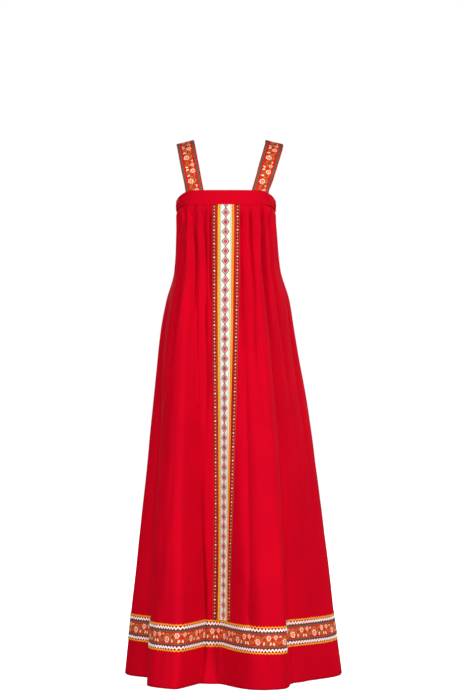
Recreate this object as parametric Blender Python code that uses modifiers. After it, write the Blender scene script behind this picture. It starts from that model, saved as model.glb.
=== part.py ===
"""A long sarafan: two gathered A-line skirt panels under a plain yoke, with shoulder straps, a woven
trim down the front and a woven trim round the hem. It is the hollow form that the dress keeps when
it is worn. Metres, +Z up, the front faces -Y, and the origin is between the tops of the straps.
"""

import math
from collections import namedtuple

import bpy
import numpy as np

# Driving sizes. Heights are measured up from the hem.
DRESS_LENGTH = 1.414
YOKE_TOP_FRONT = 1.273
YOKE_TOP_BACK = 1.262
YOKE_TOP_SIDE = 1.250
SEAM_FRONT = 1.236
SEAM_SIDE = 1.224
# The seam and the yoke's edges drop between these angles, in degrees from the middle of the front.
SEAM_DROP = (48.0, 88.0)
YOKE_FRONT_DROP = (44.0, 80.0)
YOKE_BACK_RISE = (92.0, 122.0)
# Below this height the skirt's rows are level all round.
LEVEL_BELOW = 0.95

# Cloth walls, and the clearance between pieces that are sewn together.
SKIRT_WALL = 0.0014
YOKE_WALL = 0.0020
STRAP_WALL = 0.0012
TAPE_WALL = 0.0008
GAP = 0.0003
EDGE_GAP = 0.00025

# The side seams, in degrees round from the middle of the front, positive to the right.
SEAM_ANGLE_LEFT = -89.0
SEAM_ANGLE_RIGHT = 92.0

# The dress's outline at each height, out from the axis to the outer face of the cloth.
# A squareness of 2 makes a section an ellipse, and more gives it a flatter front and back.
Section = namedtuple("Section", "height left right front back squareness")
SECTIONS = (
    Section(0.000, 0.268, 0.308, 0.260, 0.252, 2.35),
    Section(0.159, 0.252, 0.287, 0.256, 0.242, 2.35),
    Section(0.301, 0.237, 0.270, 0.244, 0.228, 2.35),
    Section(0.486, 0.216, 0.246, 0.222, 0.206, 2.35),
    Section(0.672, 0.197, 0.221, 0.196, 0.181, 2.35),
    Section(0.910, 0.173, 0.180, 0.158, 0.143, 2.40),
    Section(0.990, 0.158, 0.167, 0.143, 0.129, 2.50),
    Section(1.069, 0.137, 0.145, 0.128, 0.113, 2.60),
    Section(1.130, 0.133, 0.138, 0.118, 0.107, 2.75),
    Section(1.236, 0.1325, 0.132, 0.104, 0.102, 3.00),
    Section(1.273, 0.1325, 0.132, 0.102, 0.100, 3.00),
)

# Ridges and furrows of the skirt, in turn round the dress. Each has its angle at five heights, how
# far it lies inside the outline at four of them, and half the angle over which it is level.
FOLD_HEIGHTS = (0.0, 0.125, 0.486, 0.910, SEAM_FRONT)
Fold = namedtuple("Fold", "name hem band knee hip seam dip_hem dip_band dip_knee dip_hip level")
FOLDS = (
    Fold("back ridge", -179, -179, -178, -177, -176, 0.000, 0.000, 0.000, 0.000, 6.0),
    Fold("left back furrow", -159, -159, -158, -156, -155, 0.070, 0.072, 0.046, 0.014, 3.0),
    Fold("left back ridge", -137, -137, -136, -134, -133, 0.000, 0.000, 0.000, 0.000, 7.0),
    Fold("left rear furrow", -113, -113, -112, -111, -110, 0.052, 0.054, 0.034, 0.010, 3.0),
    Fold("left side ridge", -93.6, -92.3, -88, -89, -90, 0.000, 0.000, 0.000, 0.000, 1.0),
    Fold("left side furrow", -67.2, -68.4, -69, -76, -77, 0.065, 0.048, 0.036, 0.006, 0.5),
    Fold("left front ridge", -35.1, -34.5, -38, -46, -54, 0.002, 0.012, 0.000, 0.000, 6.0),
    Fold("middle furrow", -16, -15, -20, -26, -33, 0.100, 0.114, 0.078, 0.028, 7.4),
    Fold("right front ridge", 26.4, 27.1, 28, 27, 20, 0.005, -0.018, -0.006, 0.000, 1.1),
    Fold("right side furrow", 54.5, 47.3, 51, 53, 52, 0.067, 0.070, 0.038, 0.012, 5.2),
    Fold("right side ridge", 95.8, 97.4, 93, 91, 90, 0.000, 0.000, 0.000, 0.000, 0.5),
    Fold("right rear furrow", 118, 118, 117, 115, 113, 0.058, 0.060, 0.038, 0.010, 3.0),
    Fold("right back ridge", 139, 139, 138, 137, 136, 0.000, 0.000, 0.000, 0.000, 6.0),
    Fold("right back furrow", 160, 160, 159, 158, 157, 0.062, 0.064, 0.040, 0.014, 3.0),
)
# Below 1, a furrow is narrower than a ridge.
FURROW_SHARPNESS = 0.85

# Gathers under the yoke. The place runs from 0 at one end of a stretch of the seam to 1 at its
# other end, the depth is the deepest that the gather gets, and the length is how far it runs down.
Gather = namedtuple("Gather", "place depth length")
GATHERS_LEFT = (
    Gather(0.05, 0.0025, 0.20),
    Gather(0.13, 0.0060, 0.28),
    Gather(0.34, 0.0090, 0.40),
    Gather(0.51, 0.0080, 0.34),
    Gather(0.63, 0.0055, 0.26),
    Gather(0.76, 0.0070, 0.42),
    Gather(0.89, 0.0040, 0.26),
)
GATHERS_RIGHT = (
    Gather(0.06, 0.0045, 0.45),
    Gather(0.22, 0.0065, 0.26),
    Gather(0.40, 0.0090, 0.42),
    Gather(0.56, 0.0060, 0.30),
    Gather(0.70, 0.0050, 0.24),
    Gather(0.82, 0.0070, 0.42),
    Gather(0.93, 0.0035, 0.20),
)
GATHERS_BACK = (
    Gather(0.035, 0.0045, 0.24),
    Gather(0.110, 0.0070, 0.36),
    Gather(0.175, 0.0050, 0.22),
    Gather(0.250, 0.0085, 0.40),
    Gather(0.320, 0.0055, 0.24),
    Gather(0.395, 0.0070, 0.32),
    Gather(0.465, 0.0055, 0.22),
    Gather(0.540, 0.0090, 0.42),
    Gather(0.610, 0.0050, 0.20),
    Gather(0.685, 0.0070, 0.30),
    Gather(0.755, 0.0060, 0.34),
    Gather(0.830, 0.0080, 0.40),
    Gather(0.895, 0.0045, 0.22),
    Gather(0.965, 0.0040, 0.24),
)
# A gather has this share of its depth at the seam, and all of it this far below.
GATHER_AT_SEAM = 0.35
GATHER_RISE = 0.035

# The trim down the middle of the front: half widths, measured across the cloth from its middle.
TAPE_HALF = 0.0150
GOLD_OUTER = 0.0215
BEAD_INNER = 0.0252
BEAD_OUTER = 0.0352
TRIM_SIDES = (TAPE_HALF / 2, TAPE_HALF, GOLD_OUTER, BEAD_INNER, BEAD_OUTER)
# The middle of the front leans this far to the left by the hem.
MIDDLE_DRIFT = 0.005

# The trim round the hem: the heights of its lines.
BAND_TOP = 0.1625
GOLD_TOP_EDGE = 0.1570
FLORAL_TOP = 0.1480
FLORAL_BOTTOM = 0.1070
GOLD_BOTTOM_EDGE = 0.0980
BAND_BOTTOM = 0.0925
BAND_LINES = (BAND_TOP, GOLD_TOP_EDGE, FLORAL_TOP, FLORAL_BOTTOM, GOLD_BOTTOM_EDGE, BAND_BOTTOM)

# Rows of the skirt's mesh. The gathered top has twice the columns of the smoother cloth below.
GATHERED_ROWS = (SEAM_FRONT, 1.222, 1.204, 1.180, 1.150, 1.112, 1.066)
SMOOTH_ROWS = (1.066, 0.995, 0.915, 0.825, 0.735, 0.645, 0.555, 0.465, 0.380, 0.300, 0.225)
HEM_ROWS = (0.043, 0.0)

# Straps, from the front yoke over the shoulder to the back yoke. Forward is toward the front, and
# lean is how far the strap has moved from its place on the yoke to its place on the shoulder.
StrapPoint = namedtuple("StrapPoint", "name forward height lean")
STRAP_PATH = (
    StrapPoint("upper chest", 0.084, 1.316, 0.32),
    StrapPoint("collar", 0.066, 1.358, 0.63),
    StrapPoint("front of shoulder", 0.040, 1.392, 0.88),
    StrapPoint("top of shoulder", 0.006, 1.4055, 1.00),
    StrapPoint("back of shoulder", -0.032, 1.394, 0.92),
    StrapPoint("shoulder blade", -0.068, 1.356, 0.66),
    StrapPoint("upper back", -0.086, 1.308, 0.33),
)
Strap = namedtuple("Strap", "side front_place shoulder_place back_place")
STRAPS = (
    Strap("left", -0.082, -0.108, -0.080),
    Strap("right", 0.091, 0.130, 0.084),
)
STRAP_WIDTH = 0.048
STRAP_INSIDE_YOKE = 0.016
STRAP_CLEAR_OF_YOKE = 0.0008
# A strap follows the yoke's curve up to its top edge, and is flat across this far above it.
STRAP_FLATTENS = 0.060
STRAP_ROWS = 22
STRAP_COLUMNS = 4
# On the shoulder a strap slopes down this much toward the arm, in degrees.
SHOULDER_SLOPE = 14.0

YOKE_COLUMNS_FRONT = 36
YOKE_COLUMNS_BACK = 32
DENSE_ANGLES = 2880

# Colours as linear red, green and blue.
RED_CLOTH = (0.62, 0.004, 0.012)
GOLD = (0.86, 0.42, 0.03)
WHITE = (0.80, 0.77, 0.72)
BEAD = (0.30, 0.17, 0.05)
FLORAL_RED = (0.55, 0.05, 0.02)


def clear_scene():
    for thing in list(bpy.data.objects):
        bpy.data.objects.remove(thing, do_unlink=True)


def smooth_step(x):
    x = np.clip(x, 0.0, 1.0)
    return x * x * (3.0 - 2.0 * x)


def soft_step(x):
    """A step that starts and ends more gently than smooth_step, with no edge at either end."""
    x = np.clip(x, 0.0, 1.0)
    return x * x * x * (x * (6.0 * x - 15.0) + 10.0)


def smooth_through(x, places, values):
    """A smooth curve through the values that never runs past them between two places."""
    places, values = np.asarray(places, float), np.asarray(values, float)
    steps = np.diff(places)
    slopes = np.diff(values) / steps
    tangents = np.zeros_like(values)
    tangents[0], tangents[-1] = slopes[0], slopes[-1]
    for i in range(1, len(values) - 1):
        before, after = slopes[i - 1], slopes[i]
        if before * after > 0:
            tangents[i] = 2.0 * before * after / (before + after)
    i = np.clip(np.searchsorted(places, x) - 1, 0, len(steps) - 1)
    t = np.clip((x - places[i]) / steps[i], 0.0, 1.0)
    first = (1 + 2 * t) * (1 - t) ** 2 * values[i] + t * (1 - t) ** 2 * steps[i] * tangents[i]
    second = t * t * (3 - 2 * t) * values[i + 1] - t * t * (1 - t) * steps[i] * tangents[i + 1]
    return first + second


def section_size(name, height):
    heights = [section.height for section in SECTIONS]
    return smooth_through(height, heights, [getattr(section, name) for section in SECTIONS])


def outline_radius(angle, height):
    """Distance from the axis to the outline's outer face, for angles in radians."""
    across = np.where(
        angle < 0, section_size("left", height), section_size("right", height)
    )
    along = np.where(
        np.abs(angle) < math.pi / 2, section_size("front", height), section_size("back", height)
    )
    power = section_size("squareness", height)
    reach = np.abs(np.sin(angle) / across) ** power + np.abs(np.cos(angle) / along) ** power
    return reach ** (-1.0 / power)


def folds_at(height):
    """Angle, dip and level half angle of each ridge and furrow at one height."""
    angles, dips = [], []
    for f in FOLDS:
        angles.append(smooth_through(height, FOLD_HEIGHTS, (f.hem, f.band, f.knee, f.hip, f.seam)))
        depths = (f.dip_hem, f.dip_band, f.dip_knee, f.dip_hip, 0.0)
        dips.append(smooth_through(height, FOLD_HEIGHTS, depths))
    return np.array(angles), np.array(dips), np.array([f.level for f in FOLDS])


def fold_dip(angle, height):
    """How far the cloth lies inside its outline, for angles in radians."""
    degrees = np.degrees(angle)
    angles, dips, level = folds_at(height)
    result = np.zeros_like(degrees)
    for i in range(len(FOLDS)):
        j = (i + 1) % len(FOLDS)
        end = angles[j] + (360.0 if j == 0 else 0.0)
        turned = np.where(degrees < angles[i], degrees + 360.0, degrees)
        here = (turned >= angles[i]) & (turned < end)
        flat_end, flat_start = angles[i] + level[i], end - level[j]
        t = np.clip((turned - flat_end) / (flat_start - flat_end), 0.0, 1.0)
        from_furrow = t if dips[i] > dips[j] else 1.0 - t
        rise = soft_step(from_furrow ** FURROW_SHARPNESS)
        deep, high = max(dips[i], dips[j]), min(dips[i], dips[j])
        result = np.where(here, deep + (high - deep) * rise, result)
    return result


def share_between(value, ends):
    """0 before the first end, rising smoothly to 1 past the second."""
    return smooth_step((value - ends[0]) / (ends[1] - ends[0]))


def seam_height(angle):
    drop = share_between(np.abs(np.degrees(angle)), SEAM_DROP)
    return SEAM_FRONT - (SEAM_FRONT - SEAM_SIDE) * drop


def yoke_top_height(angle):
    degrees = np.abs(np.degrees(angle))
    drop = share_between(degrees, YOKE_FRONT_DROP)
    rise = share_between(degrees, YOKE_BACK_RISE)
    height = YOKE_TOP_FRONT + (YOKE_TOP_SIDE - YOKE_TOP_FRONT) * drop
    return height + (YOKE_TOP_BACK - YOKE_TOP_SIDE) * rise


def gather_stretch(gathers):
    """Places of the ridges and furrows in a gathered stretch, with a column half way between each."""
    furrows = [gather.place for gather in gathers]
    ridges = [0.0] + [(a + b) / 2 for a, b in zip(furrows, furrows[1:])] + [1.0]
    turns = sorted(furrows + ridges)
    places = []
    for a, b in zip(turns, turns[1:]):
        places += [a, (a + b) / 2]
    return ridges, places + [1.0]


def gather_dip(place, below_seam, gathers):
    """How far the gathers carry the cloth inward at a place on its stretch."""
    ridges, _ = gather_stretch(gathers)
    depth_share = GATHER_AT_SEAM + (1 - GATHER_AT_SEAM) * smooth_step(below_seam / GATHER_RISE)
    for k, gather in enumerate(gathers):
        if ridges[k] <= place <= ridges[k + 1]:
            side = ridges[k] if place < gather.place else ridges[k + 1]
            nearness = (place - side) / (gather.place - side)
            fade = 1.0 - smooth_step(below_seam / gather.length)
            return gather.depth * depth_share * fade * float(smooth_step(nearness))
    return 0.0


Column = namedtuple("Column", "stretch place keep")


def skirt_columns():
    """Columns from the left seam over the front to the right seam, then round the back. Only the
    kept ones run on below the gathers."""
    _, left = gather_stretch(GATHERS_LEFT)
    _, right = gather_stretch(GATHERS_RIGHT)
    _, back = gather_stretch(GATHERS_BACK)
    columns = [Column("left", p, i % 2 == 0) for i, p in enumerate(left)][::-1]
    columns += [Column("trim", -s, True) for s in TRIM_SIDES[-2::-1]]
    columns.append(Column("trim", 0.0, True))
    columns += [Column("trim", s, True) for s in TRIM_SIDES[:-1]]
    columns += [Column("right", p, i % 2 == 0) for i, p in enumerate(right)]
    columns += [Column("back", p, i % 2 == 0) for i, p in enumerate(back)][1:-1]
    return columns


COLUMNS = skirt_columns()
LEFT_SEAM = 0
RIGHT_SEAM = len(COLUMNS) - 1 - sum(column.stretch == "back" for column in COLUMNS)


def trim_column(across):
    """The column at a distance across the cloth from the middle of the front."""
    side = "left" if across < 0 else "right"
    for i, column in enumerate(COLUMNS):
        if column.stretch == "trim" and abs(column.place - across) < 1e-9:
            return i
        if abs(abs(across) - BEAD_OUTER) < 1e-9 and column.stretch == side and column.place == 0.0:
            return i
    raise ValueError(across)


def skirt_row(height):
    """Inner points of the cloth at one height, one for each column."""
    angle = np.linspace(-math.pi, math.pi, DENSE_ANGLES, endpoint=False)
    radius = outline_radius(angle, height) - fold_dip(angle, height) - SKIRT_WALL
    x, forward = radius * np.sin(angle), radius * np.cos(angle)
    x, forward = np.append(x, x[0]), np.append(forward, forward[0])
    angle = np.append(angle, math.pi)
    run = np.concatenate([[0.0], np.cumsum(np.hypot(np.diff(x), np.diff(forward)))])
    girth = run[-1]
    in_front = np.abs(angle) < math.pi / 3
    middle = np.interp(-MIDDLE_DRIFT * (1 - height / SEAM_FRONT), x[in_front], run[in_front])
    left = np.interp(math.radians(SEAM_ANGLE_LEFT), angle, run)
    right = np.interp(math.radians(SEAM_ANGLE_RIGHT), angle, run)
    below_seam = SEAM_FRONT - height
    points = []
    for column in COLUMNS:
        dip = 0.0
        if column.stretch == "trim":
            place = middle + column.place
        elif column.stretch == "left":
            place = middle - BEAD_OUTER + column.place * (left - middle + BEAD_OUTER)
            dip = gather_dip(column.place, below_seam, GATHERS_LEFT)
        elif column.stretch == "right":
            place = middle + BEAD_OUTER + column.place * (right - middle - BEAD_OUTER)
            dip = gather_dip(column.place, below_seam, GATHERS_RIGHT)
        else:
            place = right + column.place * (left + girth - right)
            dip = gather_dip(column.place, below_seam, GATHERS_BACK)
        place = place % girth
        here = float(np.interp(place, run, angle))
        reach = float(np.interp(place, run, np.hypot(x, forward))) - dip
        drop = SEAM_FRONT - float(seam_height(here))
        level = height - drop * float(share_between(height, (LEVEL_BELOW, SEAM_FRONT)))
        points.append((reach * math.sin(here), -reach * math.cos(here), level - DRESS_LENGTH))
    return points


ROWS = GATHERED_ROWS + SMOOTH_ROWS[1:] + BAND_LINES + HEM_ROWS
LAST_GATHERED = len(GATHERED_ROWS) - 1


def row_at(height):
    return ROWS.index(height)


def mesh_from_rows(name, rows, closed=False):
    """A loft between rows. Each row maps a column number to its point, and a row that holds twice
    the columns of the next one meets it with three triangles to each pair."""
    points, numbers = [], []
    for row in rows:
        numbers.append({})
        for column, point in row.items():
            numbers[-1][column] = len(points)
            points.append(tuple(point))
    faces = []
    for upper, lower in zip(numbers, numbers[1:]):
        spans = list(zip(list(lower), list(lower)[1:]))
        if closed:
            spans.append((list(lower)[-1], list(lower)[0]))
        for a, b in spans:
            between = [c for c in upper if c not in lower and (a < c < b or (b < a < c))]
            if between:
                middle = upper[between[0]]
                faces.append((lower[a], lower[b], middle))
                faces.append((lower[a], middle, upper[a]))
                faces.append((lower[b], upper[b], middle))
            else:
                faces.append((lower[a], lower[b], upper[b]))
                faces.append((lower[a], upper[b], upper[a]))
    mesh = bpy.data.meshes.new(name)
    mesh.from_pydata(points, [], faces)
    mesh.update()
    return mesh


def skirt_rows(first_row, last_row, columns):
    """Points of the whole skirt between two rows, as dictionaries from column to point."""
    rows = []
    for i in range(first_row, last_row + 1):
        row = {c: SKIRT[i][c] for c in columns if COLUMNS[c].keep or i <= LAST_GATHERED}
        rows.append(row)
    return rows


def outward_directions():
    """The whole skirt's outward direction at each point, from its faces."""
    columns = range(len(COLUMNS))
    rows = skirt_rows(0, len(ROWS) - 1, columns)
    mesh = mesh_from_rows("whole skirt", rows, closed=True)
    directions, k = [], 0
    for row in rows:
        directions.append({})
        for column in row:
            directions[-1][column] = np.array(mesh.vertex_normals[k].vector)
            k += 1
    bpy.data.meshes.remove(mesh)
    return directions


def nudged(rows, sides=True, ends=True):
    """Draws the edges of a patch in a little, so that it clears the piece beside it."""
    rows = [{c: np.array(p) for c, p in row.items()} for row in rows]
    if sides:
        for row in rows:
            keys = list(row)
            for edge, inner in ((keys[0], keys[1]), (keys[-1], keys[-2])):
                way = row[inner] - row[edge]
                row[edge] = row[edge] + way / np.linalg.norm(way) * EDGE_GAP
    if ends:
        for edge, inner in ((0, 1), (-1, -2)):
            for column in rows[edge]:
                if column in rows[inner]:
                    way = rows[inner][column] - rows[edge][column]
                    rows[edge][column] = rows[edge][column] + way / np.linalg.norm(way) * EDGE_GAP
    return rows


def cloth_material(name, colour, roughness):
    material = bpy.data.materials.new(name)
    material.use_nodes = True
    shader = material.node_tree.nodes["Principled BSDF"]
    shader.inputs["Base Color"].default_value = (*colour, 1.0)
    shader.inputs["Roughness"].default_value = roughness
    shader.inputs["Metallic"].default_value = 0.0
    return material


def cloth_piece(name, mesh, wall, material):
    """Makes an object of an open surface and gives it a wall on its outer side."""
    piece = bpy.data.objects.new(name, mesh)
    COLLECTION.objects.link(piece)
    mesh.materials.append(material)
    mesh.shade_smooth()
    solid = piece.modifiers.new("wall", "SOLIDIFY")
    solid.thickness = wall
    solid.offset = 1.0
    solid.use_even_offset = False
    solid.use_rim = True
    return piece


def skirt_panel(name, columns):
    rows = nudged(skirt_rows(0, len(ROWS) - 1, columns))
    mesh = mesh_from_rows(name, rows)
    return cloth_piece(name, mesh, SKIRT_WALL, cloth_material(name, RED_CLOTH, 0.75))


def on_skirt(first_row, last_row, columns):
    """Points just clear of the skirt's outer face."""
    rows = skirt_rows(first_row, last_row, columns)
    out = SKIRT_WALL + GAP
    return [
        {c: np.array(p) + OUTWARD[first_row + i][c] * out for c, p in row.items()}
        for i, row in enumerate(rows)
    ]


def front_trim(name, inner, outer, material):
    """One strip of the front trim, between two distances across the cloth."""
    columns = range(trim_column(inner), trim_column(outer) + 1)
    rows = nudged(on_skirt(0, row_at(BAND_TOP), columns))
    return cloth_piece(name, mesh_from_rows(name, rows), TAPE_WALL, material)


def hem_trim(name, top, bottom, material):
    """One ring of the hem trim, between two heights."""
    rows = nudged(on_skirt(row_at(top), row_at(bottom), range(len(COLUMNS))), sides=False)
    return cloth_piece(name, mesh_from_rows(name, rows, closed=True), TAPE_WALL, material)


def front_trims():
    white = cloth_material("centre tape", WHITE, 0.8)
    strips = (
        ("centre_tape", -TAPE_HALF, TAPE_HALF, white),
        ("centre_gold_left", -GOLD_OUTER, -TAPE_HALF, cloth_material("gold left", GOLD, 0.5)),
        ("centre_gold_right", TAPE_HALF, GOLD_OUTER, cloth_material("gold right", GOLD, 0.5)),
        ("centre_bead_left", -BEAD_OUTER, -BEAD_INNER, cloth_material("bead left", BEAD, 0.6)),
        ("centre_bead_right", BEAD_INNER, BEAD_OUTER, cloth_material("bead right", BEAD, 0.6)),
    )
    for name, inner, outer, material in strips:
        front_trim(name, inner, outer, material)


def hem_trims():
    lines = (
        ("hem_gold_top", BAND_TOP, GOLD_TOP_EDGE, GOLD),
        ("hem_white_top", GOLD_TOP_EDGE, FLORAL_TOP, WHITE),
        ("hem_floral_tape", FLORAL_TOP, FLORAL_BOTTOM, FLORAL_RED),
        ("hem_white_bottom", FLORAL_BOTTOM, GOLD_BOTTOM_EDGE, WHITE),
        ("hem_gold_bottom", GOLD_BOTTOM_EDGE, BAND_BOTTOM, GOLD),
    )
    for name, top, bottom, colour in lines:
        hem_trim(name, top, bottom, cloth_material(name, colour, 0.7))


def yoke_point(angle, height, inset=0.0):
    """A point on the yoke's inner face, or inside it by the inset."""
    radius = float(outline_radius(np.array(angle), height)) - YOKE_WALL - inset
    return np.array((radius * math.sin(angle), -radius * math.cos(angle), height - DRESS_LENGTH))


def yoke_panel(name, start, end, count):
    """One yoke band, between two angles in degrees."""
    angles = np.radians(np.linspace(start, end, count + 1))
    angles = np.where(angles > math.pi, angles - 2 * math.pi, angles)
    rows = []
    for share in (1.0, 0.5, 0.0):
        row = {}
        for i, angle in enumerate(angles):
            bottom, top = float(seam_height(angle)), float(yoke_top_height(angle))
            row[i] = yoke_point(angle, bottom + share * (top - bottom))
        rows.append(row)
    mesh = mesh_from_rows(name, nudged(rows))
    return cloth_piece(name, mesh, YOKE_WALL, cloth_material(name, RED_CLOTH, 0.75))


def angle_on_yoke(x, height, inset, in_front):
    """The angle in radians where the yoke's inner face, or a strap inside it, is this far across."""
    angles = np.radians(np.linspace(-89.0, 89.0, 357))
    if not in_front:
        angles = np.where(angles >= 0, math.pi - angles, -math.pi - angles)
    across = (outline_radius(angles, height) - YOKE_WALL - inset) * np.sin(angles)
    order = np.argsort(across)
    return float(np.interp(x, across[order], angles[order]))


def strap_path(strap, inset):
    """The middle of a strap's inner face: distance across, forward and height of some of its points,
    from its front end to its back end."""
    path = []
    for p in STRAP_PATH:
        yoke_place = strap.front_place if p.forward > 0 else strap.back_place
        across = yoke_place + (strap.shoulder_place - yoke_place) * p.lean
        path.append((across, p.forward, p.height))
    for place, top, in_front in (
        (strap.front_place, YOKE_TOP_FRONT, True),
        (strap.back_place, YOKE_TOP_BACK, False),
    ):
        lean = (strap.shoulder_place - place) / (DRESS_LENGTH - top)
        ends = []
        for height in (top - STRAP_INSIDE_YOKE, top):
            across = place + lean * (height - top)
            point = yoke_point(angle_on_yoke(across, top, inset, in_front), top, inset)
            ends.append((across, -point[1], height))
        path = ends + path if in_front else path + ends[::-1]
    return np.array(path)


def strap_rows(strap, width, inset):
    """Rows of a strap's inner face, from its back end in the yoke over to its front end."""
    path = strap_path(strap, inset)
    run = np.concatenate([[0.0], np.cumsum(np.linalg.norm(np.diff(path, axis=0), axis=1))])
    places = np.linspace(0.0, run[-1], STRAP_ROWS + 1)
    middles = np.stack([smooth_through(places, run, path[:, k]) for k in range(3)], axis=1)
    slope = math.radians(SHOULDER_SLOPE) * (1 if strap.side == "right" else -1)
    rows = []
    for across, forward, height in middles[::-1]:
        in_front = forward > 0
        top = YOKE_TOP_FRONT if in_front else YOKE_TOP_BACK
        loose = float(smooth_step((height - top) / STRAP_FLATTENS))
        angle = angle_on_yoke(across, top, inset, in_front)
        on_yoke = yoke_point(angle, top, inset)
        turn = (1 if in_front else -1) / float(np.hypot(on_yoke[0], on_yoke[1]))
        on_yoke[1] = -forward if loose > 0 else on_yoke[1]
        on_yoke[2] = height - DRESS_LENGTH
        row = {}
        for c in range(STRAP_COLUMNS + 1):
            offset = (c / STRAP_COLUMNS - 0.5) * width
            curved = yoke_point(angle + turn * offset, top, inset) - yoke_point(angle, top, inset)
            flat = np.array((math.cos(slope), 0.0, -math.sin(slope))) * offset
            row[c] = on_yoke + curved * (1 - loose) + flat * loose
        rows.append(row)
    return rows


def moved_out(name, rows, distance):
    """The same rows, moved along the outward directions of the surface through them."""
    mesh = mesh_from_rows(name, rows)
    out, k = [], 0
    for row in rows:
        out.append({})
        for column, point in row.items():
            out[-1][column] = point + np.array(mesh.vertex_normals[k].vector) * distance
            k += 1
    bpy.data.meshes.remove(mesh)
    return out


def strap_and_tape(strap):
    """A cloth strap, and the woven tape on its outer face."""
    inset = STRAP_CLEAR_OF_YOKE + TAPE_WALL + GAP + STRAP_WALL
    rows = strap_rows(strap, STRAP_WIDTH, inset)
    name = f"strap_{strap.side}"
    red = cloth_material(name, RED_CLOTH, 0.75)
    cloth_piece(name, mesh_from_rows(name, rows), STRAP_WALL, red)
    tape_rows = nudged(moved_out(name, rows, STRAP_WALL + GAP))
    name = f"strap_tape_{strap.side}"
    floral = cloth_material(name, FLORAL_RED, 0.7)
    cloth_piece(name, mesh_from_rows(name, tape_rows), TAPE_WALL, floral)


clear_scene()
COLLECTION = bpy.data.collections.new("Sarafan")
bpy.context.scene.collection.children.link(COLLECTION)

SKIRT = [dict(enumerate(skirt_row(height))) for height in ROWS]
OUTWARD = outward_directions()
skirt_panel("skirt_front", range(LEFT_SEAM, RIGHT_SEAM + 1))
skirt_panel("skirt_back", list(range(RIGHT_SEAM, len(COLUMNS))) + [LEFT_SEAM])
front_trims()
hem_trims()
yoke_panel("yoke_front", SEAM_ANGLE_LEFT, SEAM_ANGLE_RIGHT, YOKE_COLUMNS_FRONT)
yoke_panel("yoke_back", SEAM_ANGLE_RIGHT, SEAM_ANGLE_LEFT + 360.0, YOKE_COLUMNS_BACK)
for shoulder_strap in STRAPS:
    strap_and_tape(shoulder_strap)
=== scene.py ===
# %% [markdown]
# # A sarafan, dressed for a picture
# A sarafan is a long sleeveless dress: two wide cloth panels gathered into a narrow yoke, held up
# by two straps. The CAD model says where each piece is. This file makes each of them again as thin
# cloth in the same place, with its folds, gathers, stitches and woven patterns, and then lights it.
# The first cell loads the CAD model.

# %% Load the CAD model
import math
from collections import namedtuple

import bpy
import numpy as np
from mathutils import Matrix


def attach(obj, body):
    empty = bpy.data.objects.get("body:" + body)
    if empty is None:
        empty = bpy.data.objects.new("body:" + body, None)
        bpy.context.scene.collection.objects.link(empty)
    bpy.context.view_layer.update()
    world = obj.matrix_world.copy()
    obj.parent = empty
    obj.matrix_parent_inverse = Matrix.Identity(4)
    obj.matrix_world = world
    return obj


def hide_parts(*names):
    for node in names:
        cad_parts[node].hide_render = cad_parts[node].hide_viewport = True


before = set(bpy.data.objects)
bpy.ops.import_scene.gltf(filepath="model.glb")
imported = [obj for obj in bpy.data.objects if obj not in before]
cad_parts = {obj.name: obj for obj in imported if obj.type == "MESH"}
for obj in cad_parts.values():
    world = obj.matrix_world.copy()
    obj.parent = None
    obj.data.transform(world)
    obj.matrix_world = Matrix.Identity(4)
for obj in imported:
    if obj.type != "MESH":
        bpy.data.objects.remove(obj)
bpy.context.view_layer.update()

# %% [markdown]
# ## The cloth's surface
# The skirt could be modelled by hand or dropped on a figure by a cloth simulation. Here it is a
# formula, the same one as in the CAD model, so that the thin cloth lies exactly where the solid is.
# At each height the dress has an outline, which is a rounded box. Ridges and furrows then carry the
# cloth inward from it. A table gives their angles at five heights, and smooth curves join them.

# %% Sizes of the dress
DRESS_LENGTH = 1.414
YOKE_TOP_FRONT = 1.273
YOKE_TOP_BACK = 1.262
YOKE_TOP_SIDE = 1.250
SEAM_FRONT = 1.236
SEAM_SIDE = 1.224
SEAM_DROP = (48.0, 88.0)
YOKE_FRONT_DROP = (44.0, 80.0)
YOKE_BACK_RISE = (92.0, 122.0)
LEVEL_BELOW = 0.95
SKIRT_WALL = 0.0014
YOKE_WALL = 0.0020
STRAP_WALL = 0.0012
TAPE_WALL = 0.0008
GAP = 0.0003
SEAM_ANGLE_LEFT = -89.0
SEAM_ANGLE_RIGHT = 92.0

Section = namedtuple("Section", "height left right front back squareness")
SECTIONS = (
    Section(0.000, 0.268, 0.308, 0.260, 0.252, 2.35),
    Section(0.159, 0.252, 0.287, 0.256, 0.242, 2.35),
    Section(0.301, 0.237, 0.270, 0.244, 0.228, 2.35),
    Section(0.486, 0.216, 0.246, 0.222, 0.206, 2.35),
    Section(0.672, 0.197, 0.221, 0.196, 0.181, 2.35),
    Section(0.910, 0.173, 0.180, 0.158, 0.143, 2.40),
    Section(0.990, 0.158, 0.167, 0.143, 0.129, 2.50),
    Section(1.069, 0.137, 0.145, 0.128, 0.113, 2.60),
    Section(1.130, 0.133, 0.138, 0.118, 0.107, 2.75),
    Section(1.236, 0.1325, 0.132, 0.104, 0.102, 3.00),
    Section(1.273, 0.1325, 0.132, 0.102, 0.100, 3.00),
)

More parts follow.
